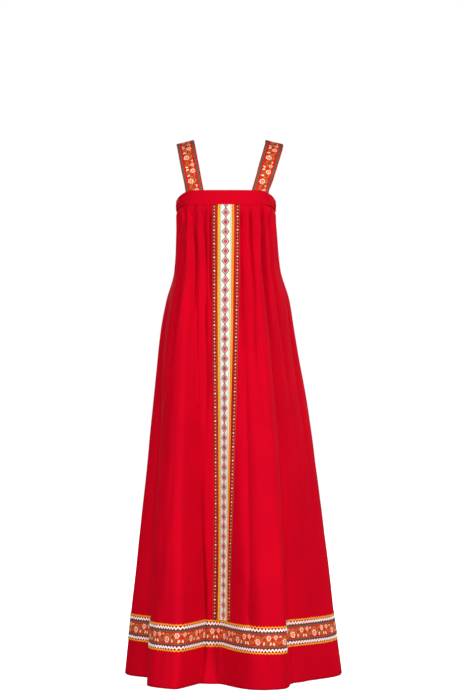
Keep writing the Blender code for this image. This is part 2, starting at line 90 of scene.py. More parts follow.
# %% Ridges and furrows of the skirt
FOLD_HEIGHTS = (0.0, 0.125, 0.486, 0.910, SEAM_FRONT)
Fold = namedtuple("Fold", "name hem band knee hip seam dip_hem dip_band dip_knee dip_hip level")
FOLDS = (
    Fold("back ridge", -179, -179, -178, -177, -176, 0.000, 0.000, 0.000, 0.000, 6.0),
    Fold("left back furrow", -159, -159, -158, -156, -155, 0.070, 0.072, 0.046, 0.014, 3.0),
    Fold("left back ridge", -137, -137, -136, -134, -133, 0.000, 0.000, 0.000, 0.000, 7.0),
    Fold("left rear furrow", -113, -113, -112, -111, -110, 0.052, 0.054, 0.034, 0.010, 3.0),
    Fold("left side ridge", -93.6, -92.3, -88, -89, -90, 0.000, 0.000, 0.000, 0.000, 1.0),
    Fold("left side furrow", -67.2, -68.4, -69, -76, -77, 0.065, 0.048, 0.036, 0.006, 0.5),
    Fold("left front ridge", -35.1, -34.5, -38, -46, -54, 0.002, 0.012, 0.000, 0.000, 6.0),
    Fold("middle furrow", -16, -15, -20, -26, -33, 0.100, 0.114, 0.078, 0.028, 7.4),
    Fold("right front ridge", 26.4, 27.1, 28, 27, 20, 0.005, -0.018, -0.006, 0.000, 1.1),
    Fold("right side furrow", 54.5, 47.3, 51, 53, 52, 0.067, 0.070, 0.038, 0.012, 5.2),
    Fold("right side ridge", 95.8, 97.4, 93, 91, 90, 0.000, 0.000, 0.000, 0.000, 0.5),
    Fold("right rear furrow", 118, 118, 117, 115, 113, 0.058, 0.060, 0.038, 0.010, 3.0),
    Fold("right back ridge", 139, 139, 138, 137, 136, 0.000, 0.000, 0.000, 0.000, 6.0),
    Fold("right back furrow", 160, 160, 159, 158, 157, 0.062, 0.064, 0.040, 0.014, 3.0),
)
FURROW_SHARPNESS = 0.85

# %% Gathers under the yoke
Gather = namedtuple("Gather", "place depth length")
GATHERS_LEFT = (
    Gather(0.05, 0.0025, 0.20),
    Gather(0.13, 0.0060, 0.28),
    Gather(0.34, 0.0090, 0.40),
    Gather(0.51, 0.0080, 0.34),
    Gather(0.63, 0.0055, 0.26),
    Gather(0.76, 0.0070, 0.42),
    Gather(0.89, 0.0040, 0.26),
)
GATHERS_RIGHT = (
    Gather(0.06, 0.0045, 0.45),
    Gather(0.22, 0.0065, 0.26),
    Gather(0.40, 0.0090, 0.42),
    Gather(0.56, 0.0060, 0.30),
    Gather(0.70, 0.0050, 0.24),
    Gather(0.82, 0.0070, 0.42),
    Gather(0.93, 0.0035, 0.20),
)
GATHERS_BACK = (
    Gather(0.035, 0.0045, 0.24),
    Gather(0.110, 0.0070, 0.36),
    Gather(0.175, 0.0050, 0.22),
    Gather(0.250, 0.0085, 0.40),
    Gather(0.320, 0.0055, 0.24),
    Gather(0.395, 0.0070, 0.32),
    Gather(0.465, 0.0055, 0.22),
    Gather(0.540, 0.0090, 0.42),
    Gather(0.610, 0.0050, 0.20),
    Gather(0.685, 0.0070, 0.30),
    Gather(0.755, 0.0060, 0.34),
    Gather(0.830, 0.0080, 0.40),
    Gather(0.895, 0.0045, 0.22),
    Gather(0.965, 0.0040, 0.24),
)
GATHER_AT_SEAM = 0.35
GATHER_RISE = 0.035

# %% Curves through a table's values
def smooth_step(x):
    x = np.clip(x, 0.0, 1.0)
    return x * x * (3.0 - 2.0 * x)


def soft_step(x):
    """A step that starts and ends more gently than smooth_step, with no edge at either end."""
    x = np.clip(x, 0.0, 1.0)
    return x * x * x * (x * (6.0 * x - 15.0) + 10.0)


def share_between(value, ends):
    """0 before the first end, rising smoothly to 1 past the second."""
    return smooth_step((value - ends[0]) / (ends[1] - ends[0]))


def smooth_through(x, places, values):
    """A smooth curve through the values that never runs past them between two places."""
    places, values = np.asarray(places, float), np.asarray(values, float)
    steps = np.diff(places)
    slopes = np.diff(values) / steps
    tangents = np.zeros_like(values)
    tangents[0], tangents[-1] = slopes[0], slopes[-1]
    for i in range(1, len(values) - 1):
        before, after = slopes[i - 1], slopes[i]
        if before * after > 0:
            tangents[i] = 2.0 * before * after / (before + after)
    i = np.clip(np.searchsorted(places, x) - 1, 0, len(steps) - 1)
    t = np.clip((x - places[i]) / steps[i], 0.0, 1.0)
    first = (1 + 2 * t) * (1 - t) ** 2 * values[i] + t * (1 - t) ** 2 * steps[i] * tangents[i]
    second = t * t * (3 - 2 * t) * values[i + 1] - t * t * (1 - t) * steps[i] * tangents[i + 1]
    return first + second


# %% The outline and its folds
def section_size(name, height):
    heights = [section.height for section in SECTIONS]
    return smooth_through(height, heights, [getattr(section, name) for section in SECTIONS])


def outline_radius(angle, height):
    """Distance from the axis to the outline's outer face, for angles in radians."""
    across = np.where(
        angle < 0, section_size("left", height), section_size("right", height)
    )
    along = np.where(
        np.abs(angle) < math.pi / 2, section_size("front", height), section_size("back", height)
    )
    power = section_size("squareness", height)
    reach = np.abs(np.sin(angle) / across) ** power + np.abs(np.cos(angle) / along) ** power
    return reach ** (-1.0 / power)


def fold_dip(angle, height):
    """How far the ridges and furrows carry the cloth inward, for angles in radians."""
    degrees = np.degrees(angle)
    turns = [
        smooth_through(height, FOLD_HEIGHTS, (f.hem, f.band, f.knee, f.hip, f.seam)) for f in FOLDS
    ]
    dips = [
        smooth_through(height, FOLD_HEIGHTS, (f.dip_hem, f.dip_band, f.dip_knee, f.dip_hip, 0.0))
        for f in FOLDS
    ]
    result = np.zeros_like(degrees)
    for i, fold in enumerate(FOLDS):
        j = (i + 1) % len(FOLDS)
        end = turns[j] + (360.0 if j == 0 else 0.0)
        turned = np.where(degrees < turns[i], degrees + 360.0, degrees)
        here = (turned >= turns[i]) & (turned < end)
        flat_end, flat_start = turns[i] + fold.level, end - FOLDS[j].level
        t = np.clip((turned - flat_end) / (flat_start - flat_end), 0.0, 1.0)
        from_furrow = t if dips[i] > dips[j] else 1.0 - t
        rise = soft_step(from_furrow ** FURROW_SHARPNESS)
        deep, high = max(dips[i], dips[j]), min(dips[i], dips[j])
        result = np.where(here, deep + (high - deep) * rise, result)
    return result


def seam_height(angle):
    drop = share_between(np.abs(np.degrees(angle)), SEAM_DROP)
    return SEAM_FRONT - (SEAM_FRONT - SEAM_SIDE) * drop


def yoke_top_height(angle):
    degrees = np.abs(np.degrees(angle))
    drop = share_between(degrees, YOKE_FRONT_DROP)
    rise = share_between(degrees, YOKE_BACK_RISE)
    height = YOKE_TOP_FRONT + (YOKE_TOP_SIDE - YOKE_TOP_FRONT) * drop
    return height + (YOKE_TOP_BACK - YOKE_TOP_SIDE) * rise


# %% [markdown]
# ## Creases and gathers
# Cloth that hangs from gathers keeps narrow creases that wander down the big folds. A simulation
# would make some, but not where the real dress has them. So they are listed one by one: a table
# gives each crease its angle at ten heights, a depth for its lower and its upper part, and how far
# it spreads on its left and right.
# A crease that is narrow on one side and wide on the other looks like cloth that laps over itself.

# %% Creases
CREASE_HEIGHTS = (0.0, 0.19, 0.45, 0.70, 0.86, 0.97, 1.06, 1.14, 1.19, SEAM_FRONT)
Crease = namedtuple("Crease", "angles low_depth high_depth to_left to_right bottom top")
CREASES = (
    Crease((-58, -58, -58, -58, -58, -58, -59, -64, -68, -68),
           0.0060, 0.0095, 0.007, 0.012, 0.97, 1.232),
    Crease((-62, -62, -60, -56, -52, -51.5, -54, -56.5, -61, -61),
           0.0052, 0.0150, 0.007, 0.008, 0.70, 1.215),
    Crease((-26, -26.5, -29.5, -33.5, -36.5, -38.5, -41, -43.5, -48, -49),
           0.0135, 0.0200, 0.008, 0.013, -0.05, 1.234),
    Crease((-25, -25, -24.5, -22, -23, -25.5, -27, -30, -33.5, -35),
           0.0045, 0.0123, 0.018, 0.014, 0.14, 1.234),
    Crease((-18.5, -18.5, -18.5, -18.5, -18.5, -19.3, -21.4, -23, -24.4, -28),
           0.0030, 0.0076, 0.008, 0.009, 0.94, 1.234),
    Crease((14, 14.5, 15.5, 16.5, 17.5, 18, 20, 22, 22.5, 22.5),
           0.0120, 0.0110, 0.012, 0.009, 0.10, 1.234),
    Crease((27, 27, 27, 28, 29, 31.5, 33.5, 34, 35.5, 36),
           0.0027, 0.0114, 0.014, 0.012, 0.60, 1.234),
    Crease((50.5, 50.5, 47, 46, 45, 45, 47, 49, 52, 50),
           0.0125, 0.0200, 0.008, 0.013, -0.05, 1.234),
    Crease((60, 60, 60, 59.5, 60, 58, 59.5, 63, 62, 59),
           0.0045, 0.0085, 0.015, 0.013, 0.72, 1.22),
    Crease((27, 14, 4, 4, 4, 4, 4, 4, 4, 4),
           0.0050, 0.0000, 0.020, 0.012, -0.02, 0.300),
    Crease((4, -12, -12, -12, -12, -12, -12, -12, -12, -12),
           0.0041, 0.0000, 0.020, 0.014, -0.05, 0.200),
    Crease((-56, -66, -70, -68, -73, -77, -80, -83, -85, -86),
           0.0110, 0.0100, 0.016, 0.010, 0.00, 1.000),
    Crease((75, 74, 74, 74, 76, 78, 80, 82, 82, 83),
           0.0043, 0.0092, 0.020, 0.010, 0.10, 1.100),
    Crease((107, 107, 106, 105, 103, 102, 101, 100, 100, 99),
           0.0046, 0.0096, 0.010, 0.020, 0.06, 1.160),
    Crease((128, 129, 129, 130, 131, 131, 131, 132, 132, 132),
           0.0052, 0.0111, 0.022, 0.009, -0.05, 1.200),
    Crease((149, 148, 148, 147, 146, 146, 146, 145, 145, 145),
           0.0038, 0.0082, 0.012, 0.020, 0.30, 1.180),
    Crease((170, 170, 169, 168, 168, 168, 167, 167, 167, 166),
           0.0059, 0.0124, 0.024, 0.009, -0.05, 1.210),
    Crease((-169, -168, -167, -166, -165, -165, -164, -163, -163, -163),
           0.0049, 0.0105, 0.009, 0.022, 0.04, 1.210),
    Crease((-148, -148, -147, -146, -145, -145, -145, -144, -144, -144),
           0.0041, 0.0088, 0.018, 0.012, 0.36, 1.170),
    Crease((-125, -125, -124, -123, -123, -123, -122, -122, -122, -121),
           0.0054, 0.0115, 0.009, 0.022, -0.05, 1.190),
    Crease((-101, -101, -101, -100, -99, -99, -99, -98, -98, -98),
           0.0041, 0.0088, 0.018, 0.010, 0.22, 1.080),
)
CREASE_FADE_LOW, CREASE_FADE_HIGH = 0.10, 0.035
CREASE_UNEVENNESS = 0.20
CREASE_SHARPNESS = 1.15
# Between these heights a crease gets its high depth, and narrows to this share of its spread.
CREASE_CHANGES = (0.55, 1.05)
CREASE_NARROWS = 0.60


def crease_dip(angle, height, radius):
    """How far the creases carry the cloth inward at angles in radians."""
    dip = np.zeros_like(angle)
    up = float(share_between(height, CREASE_CHANGES))
    for k, crease in enumerate(CREASES):
        middle = math.radians(smooth_through(height, CREASE_HEIGHTS, crease.angles))
        turn = (angle - middle + math.pi) % (2 * math.pi) - math.pi
        across = turn * radius
        spread = np.where(across < 0, crease.to_left, crease.to_right)
        spread *= 1.0 - (1.0 - CREASE_NARROWS) * up
        fade = share_between(height, (crease.bottom, crease.bottom + CREASE_FADE_LOW))
        fade *= 1.0 - share_between(height, (crease.top - CREASE_FADE_HIGH, crease.top))
        uneven = 1.0 + CREASE_UNEVENNESS * math.sin(17.0 * height + 2.1 * k)
        depth = crease.low_depth + (crease.high_depth - crease.low_depth) * up
        dip += depth * fade * uneven * np.exp(-np.abs(across / spread) ** CREASE_SHARPNESS)
    return dip


# %% Gathers and small puckers at the seam
PUCKER_DEPTH = 0.0011
PUCKER_LENGTH = 0.030
PUCKERS_TO_A_GATHER = 3.2


def gather_dip(place, below_seam, gathers):
    """How far the gathers carry the cloth inward at places along their stretch of the seam."""
    furrows = [gather.place for gather in gathers]
    ridges = [0.0] + [(a + b) / 2 for a, b in zip(furrows, furrows[1:])] + [1.0]
    below = max(below_seam, 0.0)
    depth_share = GATHER_AT_SEAM + (1 - GATHER_AT_SEAM) * smooth_step(below / GATHER_RISE)
    dip = np.zeros_like(place)
    for k, gather in enumerate(gathers):
        here = (place >= ridges[k]) & (place <= ridges[k + 1])
        side = np.where(place < gather.place, ridges[k], ridges[k + 1])
        nearness = (place - side) / (gather.place - side)
        fade = 1.0 - smooth_step(below / gather.length)
        dip = np.where(here, gather.depth * depth_share * fade * smooth_step(nearness), dip)
    turns = PUCKERS_TO_A_GATHER * len(gathers) * 2 * math.pi
    pucker = 0.5 - 0.5 * np.cos(turns * place + 1.7 * np.sin(0.31 * turns * place))
    at_ends = smooth_step(place / 0.04) * smooth_step((1.0 - place) / 0.04)
    return dip + PUCKER_DEPTH * pucker * at_ends * math.exp(-below / PUCKER_LENGTH)


# %% Slack in the cloth
SLACK_DEPTH = 0.0007
SlackWave = namedtuple("SlackWave", "turns rise phase")
SLACK_WAVES = (
    SlackWave(23, 9.0, 0.3),
    SlackWave(-31, 14.0, 1.9),
    SlackWave(41, -21.0, 4.1),
    SlackWave(-17, 27.0, 2.6),
    SlackWave(57, 11.0, 5.2),
)


def slack(angle, height):
    """Small unevenness of hanging cloth, in metres."""
    waves = [np.sin(w.turns * angle + w.rise * height + w.phase) for w in SLACK_WAVES]
    return SLACK_DEPTH * sum(waves) / math.sqrt(len(waves))


# %% [markdown]
# ## A fine grid for the whole skirt
# Every trim lies on the skirt, so the skirt comes first: one fine ring of points for each height,
# from the left side seam over the front, and round the back. Its columns follow the cloth, so that
# a thread stays in its column from the yoke to the hem. Trims are then made by asking this grid for
# points and for the way out from the cloth, which keeps them on it in every fold.

# %% Columns and rows
BEAD_OUTER = 0.0352
MIDDLE_DRIFT = 0.005
LEFT_COUNT, TRIM_COUNT, RIGHT_COUNT, BACK_COUNT = 96, 16, 96, 180
FRONT_COUNT = LEFT_COUNT + TRIM_COUNT + RIGHT_COUNT
LEFT_PLACES = np.linspace(1.0, 0.0, LEFT_COUNT + 1)
TRIM_PLACES = np.linspace(-BEAD_OUTER, BEAD_OUTER, TRIM_COUNT + 1)
RIGHT_PLACES = np.linspace(0.0, 1.0, RIGHT_COUNT + 1)
BACK_PLACES = np.linspace(0.0, 1.0, BACK_COUNT + 1)
DENSE_ANGLES = 2880

UNDER_YOKE = 0.009
SEAM_TUCK = 0.0028
TUCK_ENDS = (-0.0020, 0.0130)
ROW_STEP_TOP, ROW_STEP_LOW, ROW_STEP_GROWS = 0.0022, 0.0075, 0.14


def ring_heights():
    """Heights of the rows, close together under the yoke and wider apart lower down."""
    heights = list(SEAM_FRONT + UNDER_YOKE * np.linspace(1.0, 0.25, 3))
    height = SEAM_FRONT
    while height > SKIRT_WALL:
        heights.append(height)
        share = smooth_step((SEAM_FRONT - height) / ROW_STEP_GROWS)
        height -= ROW_STEP_TOP + (ROW_STEP_LOW - ROW_STEP_TOP) * float(share)
    if heights[-1] - SKIRT_WALL < ROW_STEP_LOW / 2:
        heights.pop()
    return np.array(heights + [SKIRT_WALL])


RING_HEIGHTS = ring_heights()
print("rows:", len(RING_HEIGHTS), "columns:", FRONT_COUNT + BACK_COUNT)


# %% One ring of the skirt
def ring_at(height):
    """Inner points of the cloth at one height, and how far round the cloth each column lies."""
    level = min(height, SEAM_FRONT)
    angle = np.linspace(-math.pi, math.pi, DENSE_ANGLES, endpoint=False)
    radius = outline_radius(angle, level) - fold_dip(angle, level) - SKIRT_WALL
    x, forward = radius * np.sin(angle), radius * np.cos(angle)
    x, forward = np.append(x, x[0]), np.append(forward, forward[0])
    angle = np.append(angle, math.pi)
    run = np.concatenate([[0.0], np.cumsum(np.hypot(np.diff(x), np.diff(forward)))])
    girth = run[-1]
    in_front = np.abs(angle) < math.pi / 3
    middle = np.interp(-MIDDLE_DRIFT * (1 - level / SEAM_FRONT), x[in_front], run[in_front])
    left = np.interp(math.radians(SEAM_ANGLE_LEFT), angle, run)
    right = np.interp(math.radians(SEAM_ANGLE_RIGHT), angle, run)
    below = SEAM_FRONT - height
    across = np.concatenate([
        middle - BEAD_OUTER - LEFT_PLACES * (middle - BEAD_OUTER - left),
        middle + TRIM_PLACES[1:-1],
        middle + BEAD_OUTER + RIGHT_PLACES * (right - middle - BEAD_OUTER),
        right + BACK_PLACES[1:] * (left + girth - right),
    ])
    dip = np.concatenate([
        gather_dip(LEFT_PLACES, below, GATHERS_LEFT),
        np.zeros(TRIM_COUNT - 1),
        gather_dip(RIGHT_PLACES, below, GATHERS_RIGHT),
        gather_dip(BACK_PLACES[1:], below, GATHERS_BACK),
    ])
    here = np.interp(across % girth, run, angle)
    reach = np.interp(across % girth, run, np.hypot(x, forward))
    dip += crease_dip(here, level, reach) - slack(here, level) * share_between(below, (0.0, 0.06))
    dip += SEAM_TUCK * (1.0 - share_between(below, TUCK_ENDS))
    reach = reach - dip
    drop = (SEAM_FRONT - seam_height(here)) * share_between(level, (LEVEL_BELOW, SEAM_FRONT))
    points = np.stack([reach * np.sin(here), -reach * np.cos(here), height - drop - DRESS_LENGTH], 1)
    return points, across - middle


RINGS = [ring_at(height) for height in RING_HEIGHTS]
CLOTH = np.stack([points for points, _ in RINGS])
AROUND = np.stack([across for _, across in RINGS])
print("girth at the hem:", round(float(AROUND[-1, -1] - AROUND[-1, 0]), 3), "m")


# %% The way out from the cloth
def ways_out(points, closed):
    """Unit vectors out from a grid of points, whose rows run down and whose columns run right."""
    if closed:
        wide = np.concatenate([points[:, -2:-1], points, points[:, 1:2]], axis=1)
        right = wide[:, 2:] - wide[:, :-2]
    else:
        right = np.gradient(points, axis=1)
    down = np.gradient(points, axis=0)
    out = np.cross(down, right)
    return out / np.linalg.norm(out, axis=2, keepdims=True)


CLOTH_OUT = ways_out(CLOTH, closed=True)


def on_cloth(column, height, out):
    """Points that far out from the skirt's outer face, at columns and heights of the grid."""
    row = np.interp(-np.asarray(height), -RING_HEIGHTS, np.arange(len(RING_HEIGHTS)))
    row, column = np.broadcast_arrays(row, column)
    i = np.clip(row.astype(int), 0, len(RING_HEIGHTS) - 2)
    j = np.clip(column.astype(int), 0, CLOTH.shape[1] - 2)
    down, right = (row - i)[..., None], (column - j)[..., None]

    def between(grid):
        upper = grid[i, j] * (1 - right) + grid[i, j + 1] * right
        lower = grid[i + 1, j] * (1 - right) + grid[i + 1, j + 1] * right
        return upper * (1 - down) + lower * down

    way = between(CLOTH_OUT)
    way /= np.linalg.norm(way, axis=-1, keepdims=True)
    return between(CLOTH) + way * (SKIRT_WALL + np.asarray(out)[..., None])


# %% [markdown]
# ## From points to cloth
# A piece of cloth is a grid of points made into four-sided faces, with a UV map in metres, so that
# a pattern drawn in millimetres comes out at its true size. Blender's Solidify modifier then gives
# the sheet its thickness. Small things that repeat, such as stitches, are copies of one little
# form, set out along a line in a single mesh.

# %% Make a sheet of cloth from a grid
def add_object(name, points, faces):
    """An object from numpy points and faces, riding on the CAD model's only body."""
    mesh = bpy.data.meshes.new(name)
    mesh.from_pydata(points.tolist(), [], faces.tolist())
    mesh.shade_smooth()
    piece = bpy.data.objects.new(name, mesh)
    bpy.context.scene.collection.objects.link(piece)
    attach(piece, "root")
    return piece


def add_cloth(name, points, across, along, wall, closed=False):
    """A sheet of cloth. Rows run down, columns run right, and across and along are the UV map."""
    rows, columns = points.shape[:2]
    if closed:
        points = points[:, :-1]
    used = points.shape[1]
    i, j = np.meshgrid(np.arange(rows - 1), np.arange(columns - 1), indexing="ij")
    i, j = i.ravel(), j.ravel()
    right = (j + 1) % used
    faces = np.stack([i * used + j, (i + 1) * used + j, (i + 1) * used + right, i * used + right], 1)
    piece = add_object(name, points.reshape(-1, 3), faces)
    across, along = np.broadcast_to(across, (rows, columns)), np.broadcast_to(along, (rows, columns))
    corners = ((i, j), (i + 1, j), (i + 1, j + 1), (i, j + 1))
    uv = np.stack([np.stack([across[c], along[c]], 1) for c in corners], 1)
    layer = piece.data.uv_layers.new(name="Cloth")
    layer.data.foreach_set("uv", uv.reshape(-1).astype(np.float32))
    if wall:
        solid = piece.modifiers.new("wall", "SOLIDIFY")
        solid.thickness = wall
        solid.offset = 1.0
    return piece


# %% Set out copies of a little form
Form = namedtuple("Form", "points faces")


def ring_form(rings, sides):
    """A little solid from rings. Each ring gives its middle, its half width and its half height."""
    turn = np.linspace(0.0, 2 * math.pi, sides, endpoint=False)
    points = [
        (along, wide * math.cos(a), out + high * math.sin(a))
        for along, out, wide, high in rings
        for a in turn
    ]
    faces = []
    for r in range(len(rings) - 1):
        for s in range(sides):
            n = (s + 1) % sides
            faces.append((r * sides + s, r * sides + n, (r + 1) * sides + n, (r + 1) * sides + s))
    return Form(np.array(points), np.array(faces))


def set_out(name, form, middles, along, out, slot):
    """One mesh with a copy of a form at each middle, turned to its line and to the way out."""
    side = np.cross(out, along)
    side /= np.linalg.norm(side, axis=1, keepdims=True)
    along = np.cross(side, out)
    axes = np.stack([along, side, out], 1)
    points = middles[:, None, :] + np.einsum("pk,nkx->npx", form.points, axes)
    first = np.arange(len(middles))[:, None, None] * len(form.points)
    faces = (form.faces[None] + first).reshape(-1, form.faces.shape[1])
    return add_object(name, points.reshape(-1, 3), faces)


def spaced(points, out, pitch, start=0.5):
    """Middles, directions and ways out at equal steps along a line of points."""
    run = np.concatenate([[0.0], np.cumsum(np.linalg.norm(np.diff(points, axis=0), axis=1))])
    count = int(run[-1] / pitch)
    places = (np.arange(count) + start) * run[-1] / count
    middles = np.stack([np.interp(places, run, points[:, k]) for k in range(3)], 1)
    before = np.stack([np.interp(places - pitch / 4, run, points[:, k]) for k in range(3)], 1)
    after = np.stack([np.interp(places + pitch / 4, run, points[:, k]) for k in range(3)], 1)
    ways = np.stack([np.interp(places, run, out[:, k]) for k in range(3)], 1)
    along = after - before
    along /= np.linalg.norm(along, axis=1, keepdims=True)
    return middles, along, ways / np.linalg.norm(ways, axis=1, keepdims=True)


# %% Sewing
STITCH_PITCH = 0.0032
STITCH = ring_form(
    (
        (-0.00125, -0.00022, 0.00008, 0.00006),
        (-0.00095, 0.00002, 0.00022, 0.00018),
        (0.0, 0.00010, 0.00025, 0.00020),
        (0.00095, 0.00002, 0.00022, 0.00018),
        (0.00125, -0.00022, 0.00008, 0.00006),
    ),
    6,
)


def sew(name, points, out, slot):
    """A row of machine stitches along a line of points."""
    return set_out(name, STITCH, *spaced(points, out, STITCH_PITCH), slot)


# %% [markdown]
# ## The skirt panels
# Each panel is a part of the fine ring. At the sides the cloth turns inward into a seam allowance,
# so the seam shows as the small valley that a sewn seam makes, and no light passes. At the bottom
# the cloth is folded up inside by 25 mm, which gives the hem its round, doubled edge.

# %% Turn in the sides and the hem
SEAM_SETBACK = 0.00150
SEAM_ALLOWANCE = (0.0022, 0.0080)
HEM_FOLD = 0.0003
HEM_TURN_UP = (0.009, 0.017, 0.025)
HEM_TURN_SETBACK = 0.0017


def skirt_panel(name, columns):
    """A panel of the skirt with its seam allowances and its turned-up hem."""
    points, out = CLOTH[:, columns].copy(), CLOTH_OUT[:, columns].copy()
    along = np.repeat(RING_HEIGHTS[:, None], len(columns), 1)
    across = AROUND[:, columns].copy()
    last, way = points[-1], out[-1]
    fold = last - way * HEM_FOLD
    fold[:, 2] = SKIRT_WALL - DRESS_LENGTH
    turned, turned_out, drop = [fold, last - way * 2 * HEM_FOLD], [way, way], [0.0003, -0.0003]
    for height in HEM_TURN_UP:
        row = int(np.argmin(np.abs(RING_HEIGHTS - height)))
        turned.append(points[row] - out[row] * 2 * HEM_FOLD)
        turned_out.append(out[row])
        drop.append(-height)
    points = np.concatenate([points, np.stack(turned)])
    out = np.concatenate([out, np.stack(turned_out)])
    along = np.concatenate([along, np.repeat(np.array(drop)[:, None], len(columns), 1)])
    across = np.concatenate([across, np.repeat(across[-1:], len(drop), 0)])
    setback = np.full(len(points), SEAM_SETBACK)
    setback[-len(HEM_TURN_UP) - 1:] += HEM_TURN_SETBACK
    for edge, inner, order in ((0, 1, -1), (-1, -2, 1)):
        way_in = points[:, inner] - points[:, edge]
        way_in /= np.linalg.norm(way_in, axis=1, keepdims=True)
        points[:, edge] += way_in * setback[:, None]
        flange = [points[:, edge] - out[:, edge] * depth for depth in SEAM_ALLOWANCE]
        sides = [across[:, edge] + order * depth for depth in SEAM_ALLOWANCE]
        flange, sides = np.stack(flange, 1)[:, ::order], np.stack(sides, 1)[:, ::order]
        heights = np.repeat(along[:, :1], len(SEAM_ALLOWANCE), 1)
        joined = (flange, points) if order < 0 else (points, flange)
        points = np.concatenate(joined, 1)
        out = np.concatenate([out[:, :2], out] if order < 0 else [out, out[:, -2:]], 1)
        across = np.concatenate([sides, across] if order < 0 else [across, sides], 1)
        along = np.concatenate([heights, along] if order < 0 else [along, heights], 1)
    return add_cloth(name, points, across, along, SKIRT_WALL)


skirt_front = skirt_panel("front_skirt_panel", np.arange(0, FRONT_COUNT + 1))
skirt_back = skirt_panel("back_skirt_panel", np.arange(FRONT_COUNT, FRONT_COUNT + BACK_COUNT + 1))
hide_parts("skirt_front")
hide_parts("skirt_back")
for panel in (skirt_front, skirt_back):
    print(panel.name, len(panel.data.polygons) * 4, "triangles with its wall")

# %% [markdown]
# ## The trim down the front
# Five strips are sewn side by side from the yoke to the hem trim: a white woven tape with red
# diamonds, a gold braid on each side of it, and a dark braid with silver dots outside each gold
# one. They are taken from the skirt's own points, moved out, so they follow every fold.

# %% Strips on the front
TAPE_HALF = 0.0150
GOLD_OUTER = 0.0215
BEAD_INNER = 0.0252
BAND_TOP = 0.1625
TRIM_TOP = SEAM_FRONT - 0.0004
TRIM_STEP = 0.0030


def trim_column(across):
    """The grid column at distances across the cloth from the middle of the front."""
    return LEFT_COUNT + (np.asarray(across) + BEAD_OUTER) / (2 * BEAD_OUTER) * TRIM_COUNT


def front_strip(inner, outer, step_across, step_along, out):
    """Points of a strip of the front trim, with how far they are across and along it."""
    count = max(2, round((outer - inner) / step_across))
    across = np.linspace(inner, outer, count + 1)[None, :]
    heights = np.linspace(TRIM_TOP, BAND_TOP, round((TRIM_TOP - BAND_TOP) / step_along) + 1)[:, None]
    across, heights = np.broadcast_arrays(across, heights)
    lift = out(across - (inner + outer) / 2, heights) if callable(out) else np.full(across.shape, out)
    return on_cloth(trim_column(across), heights, lift), across - (inner + outer) / 2, heights


def flat_tape(name, inner, outer):
    points, across, heights = front_strip(inner, outer, 0.0025, TRIM_STEP, GAP)
    return add_cloth(name, points, across, heights, TAPE_WALL)


centre_tape = flat_tape("diamond_tape", -TAPE_HALF, TAPE_HALF)
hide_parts("centre_tape")

# %% [markdown]
# ## Gold braid
# The gold braid is a plait of three cords. A real plait could be made from three tubes, but at this
# size one strip is enough, whose height is the highest of the three cords at each point. It is
# still real geometry, so its edges are scalloped in every light.

# %% Plait the gold braid
BRAID_PITCH = 0.0096
BRAID_WALL = 0.0005
BRAID_HIGH = 0.0013
CORD_HALF = 0.0017
BRAID_SWING = 0.0019
BRAID_LIE = 0.0009


def plait(across, heights):
    """How far the plait stands out from the cloth."""
    turn = 2 * math.pi * heights / BRAID_PITCH
    high = np.zeros(across.shape)
    for k in range(3):
        middle = BRAID_SWING * np.sin(turn + 2 * math.pi * k / 3)
        over = 0.55 + 0.45 * np.sin(2 * (turn + 2 * math.pi * k / 3))
        round_cord = np.sqrt(np.clip(1.0 - ((across - middle) / CORD_HALF) ** 2, 0.0, 1.0))
        high = np.maximum(high, round_cord * over)
    return BRAID_LIE + (BRAID_HIGH - BRAID_LIE) * high


def gold_braid(name, inner, outer):
    points, across, heights = front_strip(inner, outer, 0.00072, 0.0010, plait)
    braid = add_cloth(name, points, across, heights, -BRAID_WALL)
    return braid


gold_left = gold_braid("gold_braid_left", -GOLD_OUTER + 0.0002, -TAPE_HALF - 0.0002)
gold_right = gold_braid("gold_braid_right", TAPE_HALF + 0.0002, GOLD_OUTER - 0.0002)
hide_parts("centre_gold_left")
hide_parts("centre_gold_right")

# %% [markdown]
# ## Dark braid with metal dots
# Each outer braid is a narrow dark ribbon with a dot every 9 mm. Every fourth dot is bright silver
# and the others are dull bronze. The dots are small domes, one form copied down the middle of the
# ribbon, because a row of real domes catches the light.

# %% Ribbons and dots
DOT_PITCH = 0.0088
SILVER_EVERY = 4
SILVER_WIDE, BRONZE_WIDE, DOT_HIGH = 0.0020, 0.0018, 0.0011
DOT_STEPS = 4


def dome_form(half, high, steps, sides):
    """A low round dome with its flat side down."""
    turn = np.linspace(0.0, 2 * math.pi, sides, endpoint=False)
    points = []
    for rise in np.linspace(0.0, math.pi / 2 * 0.94, steps):
        reach, out = half * math.cos(rise), high * math.sin(rise)
        points += [(reach * math.cos(a), reach * math.sin(a), out) for a in turn]
    faces = []
    for r in range(steps - 1):
        for s in range(sides):
            n = (s + 1) % sides
            faces.append((r * sides + s, r * sides + n, (r + 1) * sides + n, (r + 1) * sides + s))
    top = (steps - 1) * sides
    for s in range(0, sides, 2):
        after, far = (s + 1) % sides, (s + 2) % sides
        faces.append((top + s, top + after, top + far, len(points)))
    points.append((0.0, 0.0, high))
    return Form(np.array(points), np.array(faces))


SILVER_DOT = dome_form(SILVER_WIDE, DOT_HIGH, DOT_STEPS, 12)
BRONZE_DOT = dome_form(BRONZE_WIDE, DOT_HIGH, DOT_STEPS, 12)


